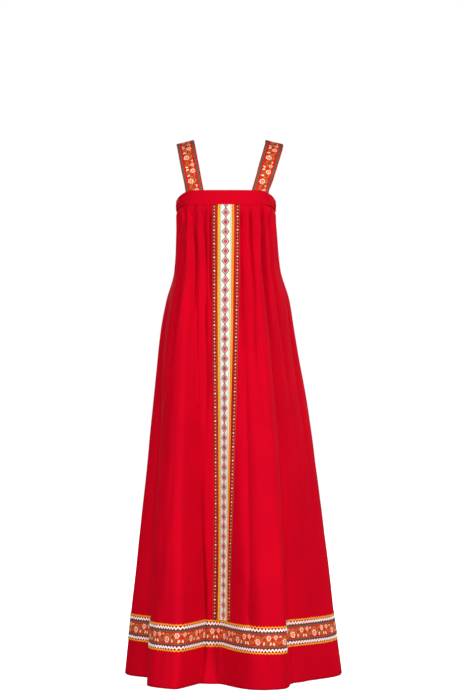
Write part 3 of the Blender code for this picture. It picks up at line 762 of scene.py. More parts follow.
def dotted_braid(side, inner, outer, node):
    """The ribbon, its silver dots and its bronze dots."""
    ribbon = flat_tape(f"dark_braid_{side}", inner, outer)
    heights = np.arange(TRIM_TOP - 0.002, BAND_TOP + 0.002, -DOT_PITCH / 6)
    middle = trim_column(np.full(heights.shape, (inner + outer) / 2))
    points = on_cloth(middle, heights, np.full(heights.shape, GAP + TAPE_WALL))
    foot = on_cloth(middle, heights, np.zeros(heights.shape))
    out = (points - foot) / np.linalg.norm(points - foot, axis=1, keepdims=True)
    places = spaced(points, out, DOT_PITCH)
    bright = np.arange(len(places[0])) % SILVER_EVERY == 3
    silver = set_out(f"silver_dots_{side}", SILVER_DOT, *[v[bright] for v in places], "dotted_braid")
    bronze = set_out(f"bronze_dots_{side}", BRONZE_DOT, *[v[~bright] for v in places], "dotted_braid")
    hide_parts(node)
    return ribbon, silver, bronze


braid_left = dotted_braid("left", -BEAD_OUTER, -BEAD_INNER, "centre_bead_left")
braid_right = dotted_braid("right", BEAD_INNER, BEAD_OUTER, "centre_bead_right")
print("silver dots on each side:", len(braid_left[1].data.vertices) // len(SILVER_DOT.points))

# %% [markdown]
# ## The trim round the hem
# A floral tape runs round the hem, with a line of white and a line of gold rickrack above and below
# it. Rickrack is a narrow tape woven in a zigzag. Each one is a strip of cloth whose middle swings
# up and down as it goes round, so that its points stand free against the red.

# %% Rings round the hem
GOLD_TOP_EDGE = 0.1570
FLORAL_TOP = 0.1480
FLORAL_BOTTOM = 0.1070
GOLD_BOTTOM_EDGE = 0.0980
BAND_BOTTOM = 0.0925
BAND_MIDDLE = (FLORAL_TOP + FLORAL_BOTTOM) / 2
BAND_ROW = int(np.argmin(np.abs(RING_HEIGHTS - BAND_MIDDLE)))
BAND_GIRTH = float(AROUND[BAND_ROW, -1] - AROUND[BAND_ROW, 0])


def band_column(around):
    """The grid column at distances round the hem from the left side seam."""
    places = AROUND[BAND_ROW] - AROUND[BAND_ROW, 0]
    return np.interp(around % BAND_GIRTH, places, np.arange(len(places)))


def band_ring(step, shares, height_at, lift_at):
    """A ring round the hem. Shares run from -1 to 1 up its width."""
    count = round(BAND_GIRTH / step)
    around = np.linspace(0.0, BAND_GIRTH, count + 1)[None, :]
    shares = np.array(shares)[:, None]
    heights, lift = height_at(around, shares), lift_at(around, shares)
    around, heights, lift = np.broadcast_arrays(around, heights, lift)
    return on_cloth(band_column(around), heights, lift), around, heights


floral_points, floral_around, floral_heights = band_ring(
    0.0050,
    np.linspace(1.0, -1.0, 11),
    lambda around, share: BAND_MIDDLE + share * (FLORAL_TOP - FLORAL_BOTTOM) / 2,
    lambda around, share: GAP + 0.0 * share,
)
floral_tape = add_cloth(
    "floral_hem_tape", floral_points, floral_around, floral_heights - BAND_MIDDLE,
    TAPE_WALL, closed=True,
)
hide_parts("hem_floral_tape")
print("floral tape:", round(BAND_GIRTH, 3), "m round the hem")

# %% Rickrack
WHITE_POINTS, GOLD_POINTS = 240, 240
WHITE_HALF, GOLD_HALF = 0.0019, 0.0014
ZIGZAG_SHARPNESS = 0.94


def rickrack(name, top, bottom, half, count, node, phase=0.0):
    """A zigzag tape between two heights, with a count of points round the hem."""
    middle, swing = (top + bottom) / 2, (top - bottom) / 2 - half
    pitch = BAND_GIRTH / count

    def heights(around, share):
        turn = 2 * math.pi * around / pitch + phase
        zigzag = np.arcsin(ZIGZAG_SHARPNESS * np.sin(turn)) / math.asin(ZIGZAG_SHARPNESS)
        return middle + swing * zigzag + share * half

    def lift(around, share):
        return GAP + 0.0002 + 0.0004 * (1.0 - share ** 2) + 0.0 * around

    points, around, at = band_ring(pitch / 10, np.linspace(1, -1, 5), heights, lift)
    share = np.linspace(1, -1, 5)[:, None] * half
    piece = add_cloth(name, points, around, np.broadcast_to(share, around.shape),
                      TAPE_WALL * 0.8, closed=True)
    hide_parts(node)
    return piece


gold_top = rickrack("gold_rickrack_top", BAND_TOP, GOLD_TOP_EDGE, GOLD_HALF, GOLD_POINTS,
                    "hem_gold_top")
white_top = rickrack("white_rickrack_top", GOLD_TOP_EDGE, FLORAL_TOP, WHITE_HALF, WHITE_POINTS,
                     "hem_white_top", math.pi)
white_bottom = rickrack("white_rickrack_bottom", FLORAL_BOTTOM, GOLD_BOTTOM_EDGE, WHITE_HALF,
                        WHITE_POINTS, "hem_white_bottom")
gold_bottom = rickrack("gold_rickrack_bottom", GOLD_BOTTOM_EDGE, BAND_BOTTOM, GOLD_HALF, GOLD_POINTS,
                       "hem_gold_bottom", math.pi)
print("rickrack points:", WHITE_POINTS, "white, each", round(BAND_GIRTH / WHITE_POINTS * 1000, 2), "mm")

# %% [markdown]
# ## The yoke
# The yoke is one strip of cloth folded double, so its top edge is a soft fold with a line of
# stitching below it. A profile of the doubled cloth, with its rounded edges and the groove that the
# stitches pull, is carried round the body. The gathers push small waves into its lower edge.

# %% Profile of the doubled cloth
STITCH_BELOW_TOP = 0.0040
ProfilePoint = namedtuple("ProfilePoint", "from_bottom share from_top out")
YOKE_PROFILE = (
    ProfilePoint(0.0000, 0.0, 0.0000, -0.00110),
    ProfilePoint(0.0005, 0.0, 0.0000, -0.00070),
    ProfilePoint(0.0018, 0.0, 0.0000, -0.00040),
    ProfilePoint(0.0042, 0.0, 0.0000, -0.00024),
    ProfilePoint(0.0080, 0.0, 0.0000, 0.00000),
    ProfilePoint(0.0000, 0.3, 0.0000, 0.00015),
    ProfilePoint(0.0000, 0.5, 0.0000, 0.00025),
    ProfilePoint(0.0000, 0.7, 0.0000, 0.00020),
    ProfilePoint(0.0000, 1.0, 0.0066, 0.00010),
    ProfilePoint(0.0000, 1.0, 0.0052, -0.00010),
    ProfilePoint(0.0000, 1.0, 0.0040, -0.00045),
    ProfilePoint(0.0000, 1.0, 0.0029, -0.00010),
    ProfilePoint(0.0000, 1.0, 0.0015, 0.00010),
    ProfilePoint(0.0000, 1.0, 0.0005, -0.00025),
    ProfilePoint(0.0000, 1.0, 0.0000, -0.00100),
    ProfilePoint(0.0000, 1.0, 0.0005, -0.00175),
    ProfilePoint(0.0000, 1.0, 0.0016, -0.00200),
    ProfilePoint(0.0000, 0.5, 0.0000, -0.00200),
    ProfilePoint(0.0024, 0.0, 0.0000, -0.00230),
    ProfilePoint(0.0004, 0.0, 0.0000, -0.00230),
)
YOKE_END_ROUNDING = ((0.0, 0.30), (0.0006, 0.80), (0.0016, 1.0))
YOKE_STEP = 0.0022


def yoke_surface(angle, height, out):
    radius = outline_radius(angle, height) + out
    return np.stack([radius * np.sin(angle), -radius * np.cos(angle), height - DRESS_LENGTH], -1)


def yoke_angles(start, end):
    """Angles in radians from end to end of a yoke piece, closer together where it rounds off."""
    radius = 0.13
    count = round(math.radians(end - start) * radius / YOKE_STEP)
    inner = np.linspace(math.radians(start) + 0.0022 / radius,
                        math.radians(end) - 0.0022 / radius, count)
    first = [math.radians(start) + (0.0002 + step) / radius for step, _ in YOKE_END_ROUNDING]
    last = [math.radians(end) - (0.0002 + step) / radius for step, _ in YOKE_END_ROUNDING][::-1]
    shrink = [share for _, share in YOKE_END_ROUNDING]
    angle = np.concatenate([first, inner, last])
    thick = np.concatenate([shrink, np.ones(count), shrink[::-1]])
    return np.where(angle > math.pi, angle - 2 * math.pi, angle), thick


def yoke_waves(angle, share):
    """Small waves in the yoke from the gathers below it."""
    waves = np.sin(67 * angle + 1.3 * np.sin(11 * angle)) + 0.6 * np.sin(113 * angle + 0.7)
    return 0.00028 * waves * (1.0 - 0.75 * share)


def yoke_panel(name, start, end, node):
    angle, thick = yoke_angles(start, end)
    bottom, top = seam_height(angle), yoke_top_height(angle)
    middle = yoke_surface(angle, (bottom + top) / 2, -YOKE_WALL / 2)
    rows, along, ran = [], [], np.zeros(len(angle))
    for p in YOKE_PROFILE:
        height = bottom + p.from_bottom + p.share * (top - bottom) - p.from_top
        share = (height - bottom) / (top - bottom)
        row = yoke_surface(angle, height, p.out + yoke_waves(angle, share))
        row = middle + (row - middle) * np.stack([thick, thick, 0.96 + 0.04 * thick], 1)
        if rows:
            ran = ran + np.linalg.norm(row - rows[-1], axis=1)
        rows.append(row)
        along.append(ran)
    rows.append(rows[0])
    along.append(along[-1] + np.linalg.norm(rows[0] - rows[-2], axis=1))
    points, along = np.stack(rows)[::-1], np.stack(along)[::-1]
    steps = np.linalg.norm(np.diff(points[8], axis=0), axis=1)
    across = np.concatenate([[0.0], np.cumsum(steps)])[None, :]
    piece = add_cloth(name, points, across, along, 0.0)
    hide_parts(node)
    return piece


yoke_front = yoke_panel("front_yoke", SEAM_ANGLE_LEFT, SEAM_ANGLE_RIGHT, "yoke_front")
yoke_back = yoke_panel("back_yoke", SEAM_ANGLE_RIGHT, SEAM_ANGLE_LEFT + 360.0, "yoke_back")

# %% Topstitching on the yoke
def yoke_stitches(name, start, end):
    angle = np.radians(np.linspace(start + 0.8, end - 0.8, 400))
    angle = np.where(angle > math.pi, angle - 2 * math.pi, angle)
    height = yoke_top_height(angle) - STITCH_BELOW_TOP
    points = yoke_surface(angle, height, -0.00030 + yoke_waves(angle, 1.0))
    out = points * np.array((1.0, 1.0, 0.0))
    return sew(name, points, out / np.linalg.norm(out, axis=1, keepdims=True), "red_cloth")


yoke_front_stitches = yoke_stitches("front_yoke_stitches", SEAM_ANGLE_LEFT, SEAM_ANGLE_RIGHT)
yoke_back_stitches = yoke_stitches("back_yoke_stitches", SEAM_ANGLE_RIGHT, SEAM_ANGLE_LEFT + 360.0)

# %% [markdown]
# ## The straps
# Each strap is a strip of the red cloth with a floral tape sewn over it. It leaves the inside of the
# front yoke, leans out over the shoulder and goes down inside the back yoke. A short table gives
# the path of its middle, and a smooth curve joins the places.

# %% Path of a strap
StrapPoint = namedtuple("StrapPoint", "name forward height lean")
STRAP_PATH = (
    StrapPoint("upper chest", 0.084, 1.316, 0.32),
    StrapPoint("collar", 0.066, 1.358, 0.63),
    StrapPoint("front of shoulder", 0.040, 1.392, 0.88),
    StrapPoint("top of shoulder", 0.006, 1.4055, 1.00),
    StrapPoint("back of shoulder", -0.032, 1.394, 0.92),
    StrapPoint("shoulder blade", -0.068, 1.356, 0.66),
    StrapPoint("upper back", -0.086, 1.308, 0.33),
)
Strap = namedtuple("Strap", "side front_place shoulder_place back_place")
STRAPS = (
    Strap("left", -0.082, -0.108, -0.080),
    Strap("right", 0.091, 0.130, 0.084),
)
STRAP_WIDTH = 0.048
STRAP_INSIDE_YOKE = 0.016
STRAP_CLEAR_OF_YOKE = 0.0008
STRAP_FLATTENS = 0.060
SHOULDER_SLOPE = 14.0
STRAP_STEP = 0.0032
STRAP_COLUMNS = 16


def yoke_point(angle, height, inset):
    """A point inside the yoke's inner face by the inset."""
    radius = float(outline_radius(np.array(angle), height)) - YOKE_WALL - inset
    return np.array((radius * math.sin(angle), -radius * math.cos(angle), height - DRESS_LENGTH))


def angle_on_yoke(x, height, inset, in_front):
    """The angle in radians where a strap inside the yoke is this far across."""
    angles = np.radians(np.linspace(-89.0, 89.0, 357))
    if not in_front:
        angles = np.where(angles >= 0, math.pi - angles, -math.pi - angles)
    across = (outline_radius(angles, height) - YOKE_WALL - inset) * np.sin(angles)
    order = np.argsort(across)
    return float(np.interp(x, across[order], angles[order]))


def strap_path(strap, inset):
    """Distance across, forward and height of the strap's middle, from its front end."""
    path = []
    for p in STRAP_PATH:
        place = strap.front_place if p.forward > 0 else strap.back_place
        path.append((place + (strap.shoulder_place - place) * p.lean, p.forward, p.height))
    for place, top, in_front in (
        (strap.front_place, YOKE_TOP_FRONT, True),
        (strap.back_place, YOKE_TOP_BACK, False),
    ):
        lean = (strap.shoulder_place - place) / (DRESS_LENGTH - top)
        ends = []
        for height in (top - STRAP_INSIDE_YOKE, top):
            across = place + lean * (height - top)
            point = yoke_point(angle_on_yoke(across, top, inset, in_front), top, inset)
            ends.append((across, -point[1], height))
        path = ends + path if in_front else path + ends[::-1]
    return np.array(path)


# %% Points of a strap
def strap_grid(strap, inset):
    """Points of a strap's inner face. Rows run from its back end over to its front end."""
    path = strap_path(strap, inset)
    run = np.concatenate([[0.0], np.cumsum(np.linalg.norm(np.diff(path, axis=0), axis=1))])
    places = np.linspace(0.0, run[-1], round(run[-1] / STRAP_STEP) + 1)
    middles = np.stack([smooth_through(places, run, path[:, k]) for k in range(3)], axis=1)
    slope = math.radians(SHOULDER_SLOPE) * (1 if strap.side == "right" else -1)
    rows = []
    for across, forward, height in middles[::-1]:
        in_front = forward > 0
        top = YOKE_TOP_FRONT if in_front else YOKE_TOP_BACK
        loose = float(smooth_step((height - top) / STRAP_FLATTENS))
        angle = angle_on_yoke(across, top, inset, in_front)
        on_yoke = yoke_point(angle, top, inset)
        turn = (1 if in_front else -1) / float(np.hypot(on_yoke[0], on_yoke[1]))
        on_yoke[1] = -forward if loose > 0 else on_yoke[1]
        on_yoke[2] = height - DRESS_LENGTH
        row = []
        for c in range(STRAP_COLUMNS + 1):
            offset = (c / STRAP_COLUMNS - 0.5) * STRAP_WIDTH
            curved = yoke_point(angle + turn * offset, top, inset) - yoke_point(angle, top, inset)
            flat = np.array((math.cos(slope), 0.0, -math.sin(slope))) * offset
            row.append(on_yoke + curved * (1 - loose) + flat * loose)
        rows.append(row)
    return np.array(rows), places[::-1]


# %% Make the straps and their tapes
STRAP_INSET = STRAP_CLEAR_OF_YOKE + TAPE_WALL + GAP + STRAP_WALL
STRAP_EDGE_SEWING = 0.0020
straps, strap_tapes, strap_stitches, strap_lengths = [], [], [], []
for strap in STRAPS:
    inner_face, places = strap_grid(strap, STRAP_INSET)
    out = ways_out(inner_face, closed=False)
    across = np.linspace(-STRAP_WIDTH / 2, STRAP_WIDTH / 2, STRAP_COLUMNS + 1)[None, :]
    cloth = add_cloth(f"{strap.side}_strap", inner_face, across, places[:, None], STRAP_WALL)
    tape_face = inner_face + out * (STRAP_WALL + GAP)
    tape = add_cloth(f"{strap.side}_strap_tape", tape_face, places[:, None], across,
                     TAPE_WALL)
    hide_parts(f"strap_{strap.side}")
    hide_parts(f"strap_tape_{strap.side}")
    share = STRAP_EDGE_SEWING / STRAP_WIDTH * STRAP_COLUMNS
    for edge, inner, end in ((0, 1, "outer"), (-1, -2, "inner")):
        line = tape_face[:, edge] * (1 - share) + tape_face[:, inner] * share
        line = line + out[:, edge] * (TAPE_WALL + 0.00006)
        strap_stitches.append(sew(f"{strap.side}_strap_{end}_stitches", line, out[:, edge], "floral_tape"))
    straps.append(cloth)
    strap_tapes.append(tape)
    strap_lengths.append(float(places.max()))
print("strap lengths in metres:", [round(length, 3) for length in strap_lengths])

# %% [markdown]
# ## Sewing on the trims
# Each tape is held by a row of machine stitches near each edge. The rows are drawn on top of the
# tapes with the same thread form as on the yoke, so they lie along every fold.

# %% Stitch the tapes down
TAPE_SEWING_INSET = 0.0011
ON_TAPE = GAP + TAPE_WALL + 0.00006


def line_on_cloth(column, height):
    """A line of points on top of a tape, with the ways out from the cloth."""
    column, height = np.broadcast_arrays(np.asarray(column, float), np.asarray(height, float))
    points = on_cloth(column, height, np.full(height.shape, ON_TAPE))
    out = points - on_cloth(column, height, np.zeros(height.shape))
    return points, out / np.linalg.norm(out, axis=1, keepdims=True)


front_line = np.arange(TRIM_TOP - 0.005, BAND_TOP + 0.001, -0.003)
tape_stitches = []
for side, across in (("left", -TAPE_HALF + TAPE_SEWING_INSET), ("right", TAPE_HALF - TAPE_SEWING_INSET)):
    line, out = line_on_cloth(trim_column(across), front_line)
    tape_stitches.append(sew(f"diamond_tape_{side}_stitches", line, out, "diamond_tape"))

hem_line = band_column(np.linspace(0.0, BAND_GIRTH - 0.0005, 700))
floral_stitches = []
for edge, height in (("top", FLORAL_TOP - TAPE_SEWING_INSET), ("bottom", FLORAL_BOTTOM + TAPE_SEWING_INSET)):
    line, out = line_on_cloth(hem_line, height)
    floral_stitches.append(sew(f"floral_hem_tape_{edge}_stitches", line, out, "floral_tape"))
print("stitches round the hem:", len(floral_stitches[0].data.vertices) // len(STITCH.points))

# %% [markdown]
# ## Flat sizes of the cloth
# The skirt panels are cut as wide trapezoids and gathered at the top, so their flat area is less
# than their width times length.

# %% [markdown]
# ## Finishes
# Every finish is made from nodes, with patterns measured in metres on the cloth's UV map. One small
# class lets the maths be written as Python sums. Only colour, roughness and bump change over a
# surface. Numbers that are the same all over are set on the shader itself.

# %% Sums that become nodes
class Yarn:
    """An output of a finish's nodes. A sum written with it adds Math nodes."""

    def __init__(self, finish, socket):
        self.finish = finish
        self.socket = socket

    def maths(self, operation, *values):
        return self.finish.node("ShaderNodeMath", {"operation": operation}, values)

    def __add__(self, other):
        return self.maths("ADD", self, other)

    def __sub__(self, other):
        return self.maths("SUBTRACT", self, other)

    def __rsub__(self, other):
        return self.maths("SUBTRACT", other, self)

    def __mul__(self, other):
        return self.maths("MULTIPLY", self, other)

    def __truediv__(self, other):
        return self.maths("DIVIDE", self, other)

    def __mod__(self, other):
        return self.maths("FLOORED_MODULO", self, other)

    def __lt__(self, other):
        return self.maths("LESS_THAN", self, other)

    def __gt__(self, other):
        return self.maths("GREATER_THAN", self, other)

    def __abs__(self):
        return self.maths("ABSOLUTE", self)

    def power(self, other):
        return self.maths("POWER", self, other)

    def sine(self):
        return self.maths("SINE", self)

    def cosine(self):
        return self.maths("COSINE", self)

    def floor(self):
        return self.maths("FLOOR", self)

    def turn_from(self, other):
        """Angle of the place whose first coordinate is the other and whose second is this."""
        return self.maths("ARCTAN2", self, other)

    def most(self, other):
        return self.maths("MAXIMUM", self, other)

    __radd__ = __add__
    __rmul__ = __mul__


# %% A finish
class Finish:
    """A material in the making. Node() adds any node and returns one of its outputs."""

    def __init__(self, name):
        self.material = bpy.data.materials.new(name)
        self.material.use_nodes = True
        self.nodes = self.material.node_tree.nodes
        self.links = self.material.node_tree.links
        self.shader = self.nodes["Principled BSDF"]
        self.place = self.node("ShaderNodeUVMap", {"uv_map": "Cloth"})
        self.across = self.node("ShaderNodeSeparateXYZ", {}, (self.place,), "X")
        self.along = Yarn(self, self.across.socket.node.outputs["Y"])

    def node(self, kind, settings=None, values=(), output=0):
        node = self.nodes.new(kind)
        for key, value in (settings or {}).items():
            setattr(node, key, value)
        pairs = values.items() if isinstance(values, dict) else enumerate(values)
        for key, value in pairs:
            if isinstance(value, Yarn):
                self.links.new(value.socket, node.inputs[key])
            else:
                node.inputs[key].default_value = value
        return Yarn(self, node.outputs[output])

    def mix(self, share, first, second):
        """The first colour where the share is 0 and the second where it is 1."""
        first, second = [c if isinstance(c, Yarn) else (*c, 1.0) for c in (first, second)]
        values = {0: share, 6: first, 7: second}
        return self.node("ShaderNodeMix", {"data_type": "RGBA"}, values, 2)

    def away(self, u, v):
        """Distance from the origin to the place (u, v)."""
        place = self.node("ShaderNodeCombineXYZ", {}, (u, v))
        return self.node("ShaderNodeVectorMath", {"operation": "LENGTH"}, (place,), "Value")

    def noise(self, scale, detail=2.0, stretch=(1.0, 1.0)):
        place = self.node("ShaderNodeVectorMath", {"operation": "MULTIPLY"},
                          (self.place, (stretch[0], stretch[1], 1.0)))
        return self.node("ShaderNodeTexNoise", {}, {"Vector": place, "Scale": scale, "Detail": detail})

    def rise(self, value, low, high):
        """0 below low, rising smoothly to 1 above high."""
        values = {"Value": value, "From Min": low, "From Max": high}
        return self.node("ShaderNodeMapRange", {"interpolation_type": "SMOOTHSTEP"}, values)

    def inside(self, distance, edge, soft=0.0002):
        return 1.0 - self.rise(distance, edge - soft, edge + soft)

    def set(self, colour=None, roughness=None, height=None, depth=0.0003, strength=1.0, **numbers):
        """Links what changes over the cloth, and sets the numbers that don't."""
        for name, value in (("Base Color", colour), ("Roughness", roughness)):
            if isinstance(value, Yarn):
                self.links.new(value.socket, self.shader.inputs[name])
            elif value is not None:
                self.shader.inputs[name].default_value = (*value, 1.0) if name == "Base Color" else value
        if height is not None:
            values = {"Height": height, "Distance": depth, "Strength": strength}
            normal = self.node("ShaderNodeBump", {}, values)
            self.links.new(normal.socket, self.shader.inputs["Normal"])
        for name, value in numbers.items():
            self.shader.inputs[name.replace("_", " ")].default_value = value
        return self.material


def weave(finish, pitch):
    """Height of a plain weave, from 0 to 1. Threads pass over and under each other."""
    turn = 2 * math.pi / (2 * pitch)
    return 0.5 + 0.5 * (finish.across * turn).sine() * (finish.along * turn).sine()


def repeated(distance, pitch):
    """Distance from the middle of the nearest repeat, with its sign."""
    return ((distance / pitch + 0.5) % 1.0 - 0.5) * pitch


# %% Red cloth
CLOTH_RED = (0.52, 0.0004, 0.0100)
CLOTH_DEEP_RED = (0.455, 0.0003, 0.0105)
SHEEN_RED = (1.0, 0.05, 0.10, 1.0)


def red_cloth():
    f = Finish("red cloth")
    cloudy = f.noise(7.0, 3.0)
    fine = f.noise(420.0, 2.0, (1.0, 0.35))
    colour = f.mix(f.rise(cloudy * 0.7 + fine * 0.3, 0.3, 0.7), CLOTH_DEEP_RED, CLOTH_RED)
    crinkle = f.noise(34.0, 3.0, (1.0, 0.5))
    height = weave(f, 0.00045) * 0.12 + fine * 0.15 + crinkle
    return f.set(colour, 0.66 + 0.16 * fine, height, 0.0009, 0.5,
                 Specular_IOR_Level=0.02, Sheen_Weight=0.01, Sheen_Roughness=0.4, Sheen_Tint=SHEEN_RED)


# %% [markdown]
# ## Woven patterns
# A woven motif is made of threads, so its edges are small steps. Snapping the UV map to a thread's
# width before drawing gives the same steps. Each motif below is then a plain shape: a diamond is
# where the shares of its half width and half height add up to less than 1, and a flower is where
# the distance from its middle is less than a radius that swells at each petal.

# %% White tape with red diamonds
TAPE_WHITE = (0.72, 0.71, 0.60)
TAPE_CREAM = (0.68, 0.68, 0.46)
TAPE_COOL = (0.60, 0.63, 0.68)
TAPE_GREY = (0.42, 0.45, 0.36)
TAPE_CRIMSON = (0.56, 0.006, 0.035)
TAPE_ROSE = (0.62, 0.08, 0.13)
TAPE_DARK = (0.13, 0.020, 0.035)
DIAMOND_REPEAT = 0.0253
DIAMOND_WIDE, DIAMOND_TALL = 0.0080, 0.0108
TAPE_THREAD = 0.00075
PATTERN_HALF = 0.0100
EDGE_STRIPE, EDGE_STRIPE_HALF, EDGE_FROM = 0.0129, 0.0008, 0.0136
DIAMOND_SHARE, LATTICE_SHARE, LATTICE_HALF = 0.80, 1.13, 0.16


def snapped(value, thread):
    """The value at the middle of its thread."""
    return ((value / thread).floor() + 0.5) * thread


def diamond_tape():
    f = Finish("diamond tape")
    x = abs(snapped(f.across + TAPE_THREAD / 2, TAPE_THREAD))
    along = snapped(f.along, TAPE_THREAD)
    far = abs(repeated(along, DIAMOND_REPEAT))
    turns = math.pi / (2 * TAPE_THREAD)
    check = (x * turns).cosine() * (far * turns).cosine()
    share = x / DIAMOND_WIDE + far / DIAMOND_TALL
    diamond = share < DIAMOND_SHARE
    lattice = (abs(share - LATTICE_SHARE) < LATTICE_HALF) * (x < PATTERN_HALF)
    colour = f.mix(x > PATTERN_HALF, TAPE_WHITE, f.mix(f.across > 0.0, TAPE_COOL, TAPE_CREAM))
    colour = f.mix(abs(x - EDGE_STRIPE) < EDGE_STRIPE_HALF, colour, TAPE_GREY)
    colour = f.mix(x > EDGE_FROM, colour, TAPE_WHITE)
    colour = f.mix(diamond, colour, f.mix(check > 0.25, TAPE_CRIMSON, TAPE_ROSE))
    dark = lattice.most(diamond * (check < -0.62))
    colour = f.mix(dark, colour, TAPE_DARK)
    raised = diamond.most(dark)
    return f.set(colour, 0.75, weave(f, 0.0004) * 0.6 + raised * 0.5, 0.0003, 0.6,
                 Specular_IOR_Level=0.12)


# %% Braid, rickrack and dots
YELLOW_YARN, ORANGE_YARN = (0.96, 0.50, 0.012), (0.94, 0.28, 0.008)
# The second colour on the next line is the red cloth in the gaps between the gold braid's cords, darkened as
# painted shade.
BROWN_YARN, CORD_GAP_SHADE_RED = (0.66, 0.20, 0.006), (0.16, 0.004, 0.008)
RICKRACK_WHITE = (0.93, 0.92, 0.91)
BRAID_DARK, BRAID_RUST, BRAID_OLIVE = (0.24, 0.003, 0.008), (0.38, 0.008, 0.010), (0.24, 0.080, 0.022)
SILVER, BRONZE = (0.88, 0.84, 0.82), (0.78, 0.40, 0.20)
THREAD_RED = (0.50, 0.002, 0.010)


def gold_yarn(name, yarn, shaded_gap_side):
    """Gold yarn. The last argument is 1 or -1 for the edge where dark red dots paint the shaded gaps between
    the cords, or 0 for none.
    """
    f = Finish(name)
    strand = (f.along * (2 * math.pi / 0.0009) + f.across * (2 * math.pi / 0.0016)).sine()
    colour = f.mix(f.rise(strand, -1.3, 0.4), BROWN_YARN, yarn)
    # Painted shade: dark red dots along one edge stand for the gaps between the cords, where the cloth shows
    # in shadow.
    if shaded_gap_side:
        dot = f.away(f.across * shaded_gap_side - 0.0027, repeated(f.along, 0.0084))
        colour = f.mix(f.inside(dot, 0.0013, 0.0003), colour, CORD_GAP_SHADE_RED)
    return f.set(colour, 0.45, strand, 0.0002, 0.6, Specular_IOR_Level=0.2)


def white_yarn():
    f = Finish("white rickrack")
    strand = (f.across * (2 * math.pi / 0.0009)).sine()
    return f.set(RICKRACK_WHITE, 0.8, strand, 0.0002, 0.6, Specular_IOR_Level=0.1)


def dark_braid():
    f = Finish("dark braid")
    x = abs(f.across)
    rungs = f.inside(abs(repeated(f.along, DOT_PITCH / 2)), 0.0010, 0.0004) * f.inside(x, 0.0030, 0.0004)
    colour = f.mix(rungs, BRAID_DARK, BRAID_RUST)
    colour = f.mix(f.rise(x, 0.0038, 0.0044), colour, BRAID_OLIVE)
    return f.set(colour, 0.6, weave(f, 0.0005), 0.0003, 0.7, Specular_IOR_Level=0.15)


def metal_dot(name, colour, roughness):
    f = Finish(name)
    return f.set(colour, roughness, Metallic=0.4)


def plain_thread(name, colour):
    f = Finish(name)
    return f.set(colour, 0.6, Specular_IOR_Level=0.1)


# %% Floral tape
FLORAL_GROUND = (0.58, 0.006, 0.006)
# Dark red: the dark thread's colour, and on the hem tape's edges partly painted shade between the rickrack's
# teeth.
DARK_EDGE_SHADE_AND_THREAD = (0.16, 0.004, 0.008)
FLORAL_GREEN = (0.050, 0.105, 0.055)
FLORAL_CREAM = (0.80, 0.66, 0.44)
FLORAL_PINK = (0.62, 0.060, 0.045)
FLORAL_VINE = (0.62, 0.20, 0.040)
FLORAL_LEAF = (0.24, 0.115, 0.018)
FLORAL_GOLD = (0.36, 0.060, 0.014)
FLORAL_THREAD = 0.0007
FLORAL_REPEAT = 0.0676
TapeBands = namedtuple("TapeBands", "motif_half ground_half green_half edge")
# The hem tape's edge is dark red partly as painted shade beside the rickrack. The strap tape keeps plain
# ground at its edge.
HEM_BANDS = TapeBands(0.0132, 0.0152, 0.0190, DARK_EDGE_SHADE_AND_THREAD)
STRAP_BANDS = TapeBands(0.0126, 0.0170, 0.0208, FLORAL_GROUND)
MOTIF_HALF = 0.0108
Flower = namedtuple("Flower", "at up radius petals")
FLOWERS = (
    Flower(0.000, 0.0050, 0.0052, 6),
    Flower(0.017, 0.0064, 0.0040, 5),
    Flower(0.041, -0.0034, 0.0062, 7),
)
Sprig = namedtuple("Sprig", "at up long wide turn")
BUDS = (
    Sprig(0.0045, -0.0066, 0.0036, 0.0018, 62),
    Sprig(0.0125, -0.0070, 0.0036, 0.0018, 118),
    Sprig(0.0560, -0.0062, 0.0036, 0.0018, 75),
    Sprig(0.0290, 0.0076, 0.0030, 0.0014, 20),
)
LEAVES = (
    Sprig(0.0225, -0.0050, 0.0058, 0.0024, 55),
    Sprig(0.0335, 0.0030, 0.0050, 0.0018, -35),
    Sprig(0.0500, 0.0048, 0.0054, 0.0020, 30),
    Sprig(0.0620, -0.0046, 0.0058, 0.0024, 115),
)


def sprig(f, u, v, shape):
    """1 inside an ellipse that is turned by some degrees."""
    u, v = repeated(u - shape.at, FLORAL_REPEAT), v - shape.up
    cos, sin = math.cos(math.radians(shape.turn)), math.sin(math.radians(shape.turn))
    along, aside = (u * cos + v * sin) / shape.long, (v * cos - u * sin) / shape.wide
    return f.away(along, aside) < 1.0


def floral(name, bands):
    f = Finish(name)
    u, v = snapped(f.across, FLORAL_THREAD), snapped(f.along + FLORAL_THREAD / 2, FLORAL_THREAD)
    y = abs(v)
    v = v * (MOTIF_HALF / bands.motif_half)
    wave = (u * (4 * math.pi / FLORAL_REPEAT)).sine()
    vine = (abs(v - wave * 0.0070 - 0.0010) < 0.0010).most(abs(v + wave * 0.0082) < 0.0007)
    mottled = (f.noise(330.0, 1.0) > 0.56) * (y < bands.motif_half)
    colour = f.mix(mottled, FLORAL_GROUND, FLORAL_GOLD)
    colour = f.mix(vine, colour, FLORAL_VINE)
    for leaf in LEAVES:
        colour = f.mix(sprig(f, u, v, leaf), colour, FLORAL_LEAF)
    for bud in BUDS:
        colour = f.mix(sprig(f, u, v, bud), colour, FLORAL_CREAM)
    for flower in FLOWERS:
        s, t = repeated(u - flower.at, FLORAL_REPEAT), v - flower.up
        petal = (t.turn_from(s) * flower.petals).cosine()
        share = f.away(s, t) / (petal * 0.14 + 1.0) / flower.radius
        colour = f.mix(share < 1.0, colour, FLORAL_CREAM)
        colour = f.mix(share < 0.64, colour, FLORAL_PINK)
        colour = f.mix(share < 0.22, colour, FLORAL_CREAM)
    colour = f.mix(y > bands.ground_half, colour, FLORAL_GREEN)
    # Past the green band: on the hem tape a dark edge that is partly painted shade of the rickrack's teeth.
    colour = f.mix(y > bands.green_half, colour, bands.edge)
    return f.set(colour, 0.7, weave(f, 0.0004), 0.0003, 0.6, Specular_IOR_Level=0.12)


# %% Give each piece its finish
def give(material, *objects):
    for thing in objects:
        thing.data.materials.append(material)


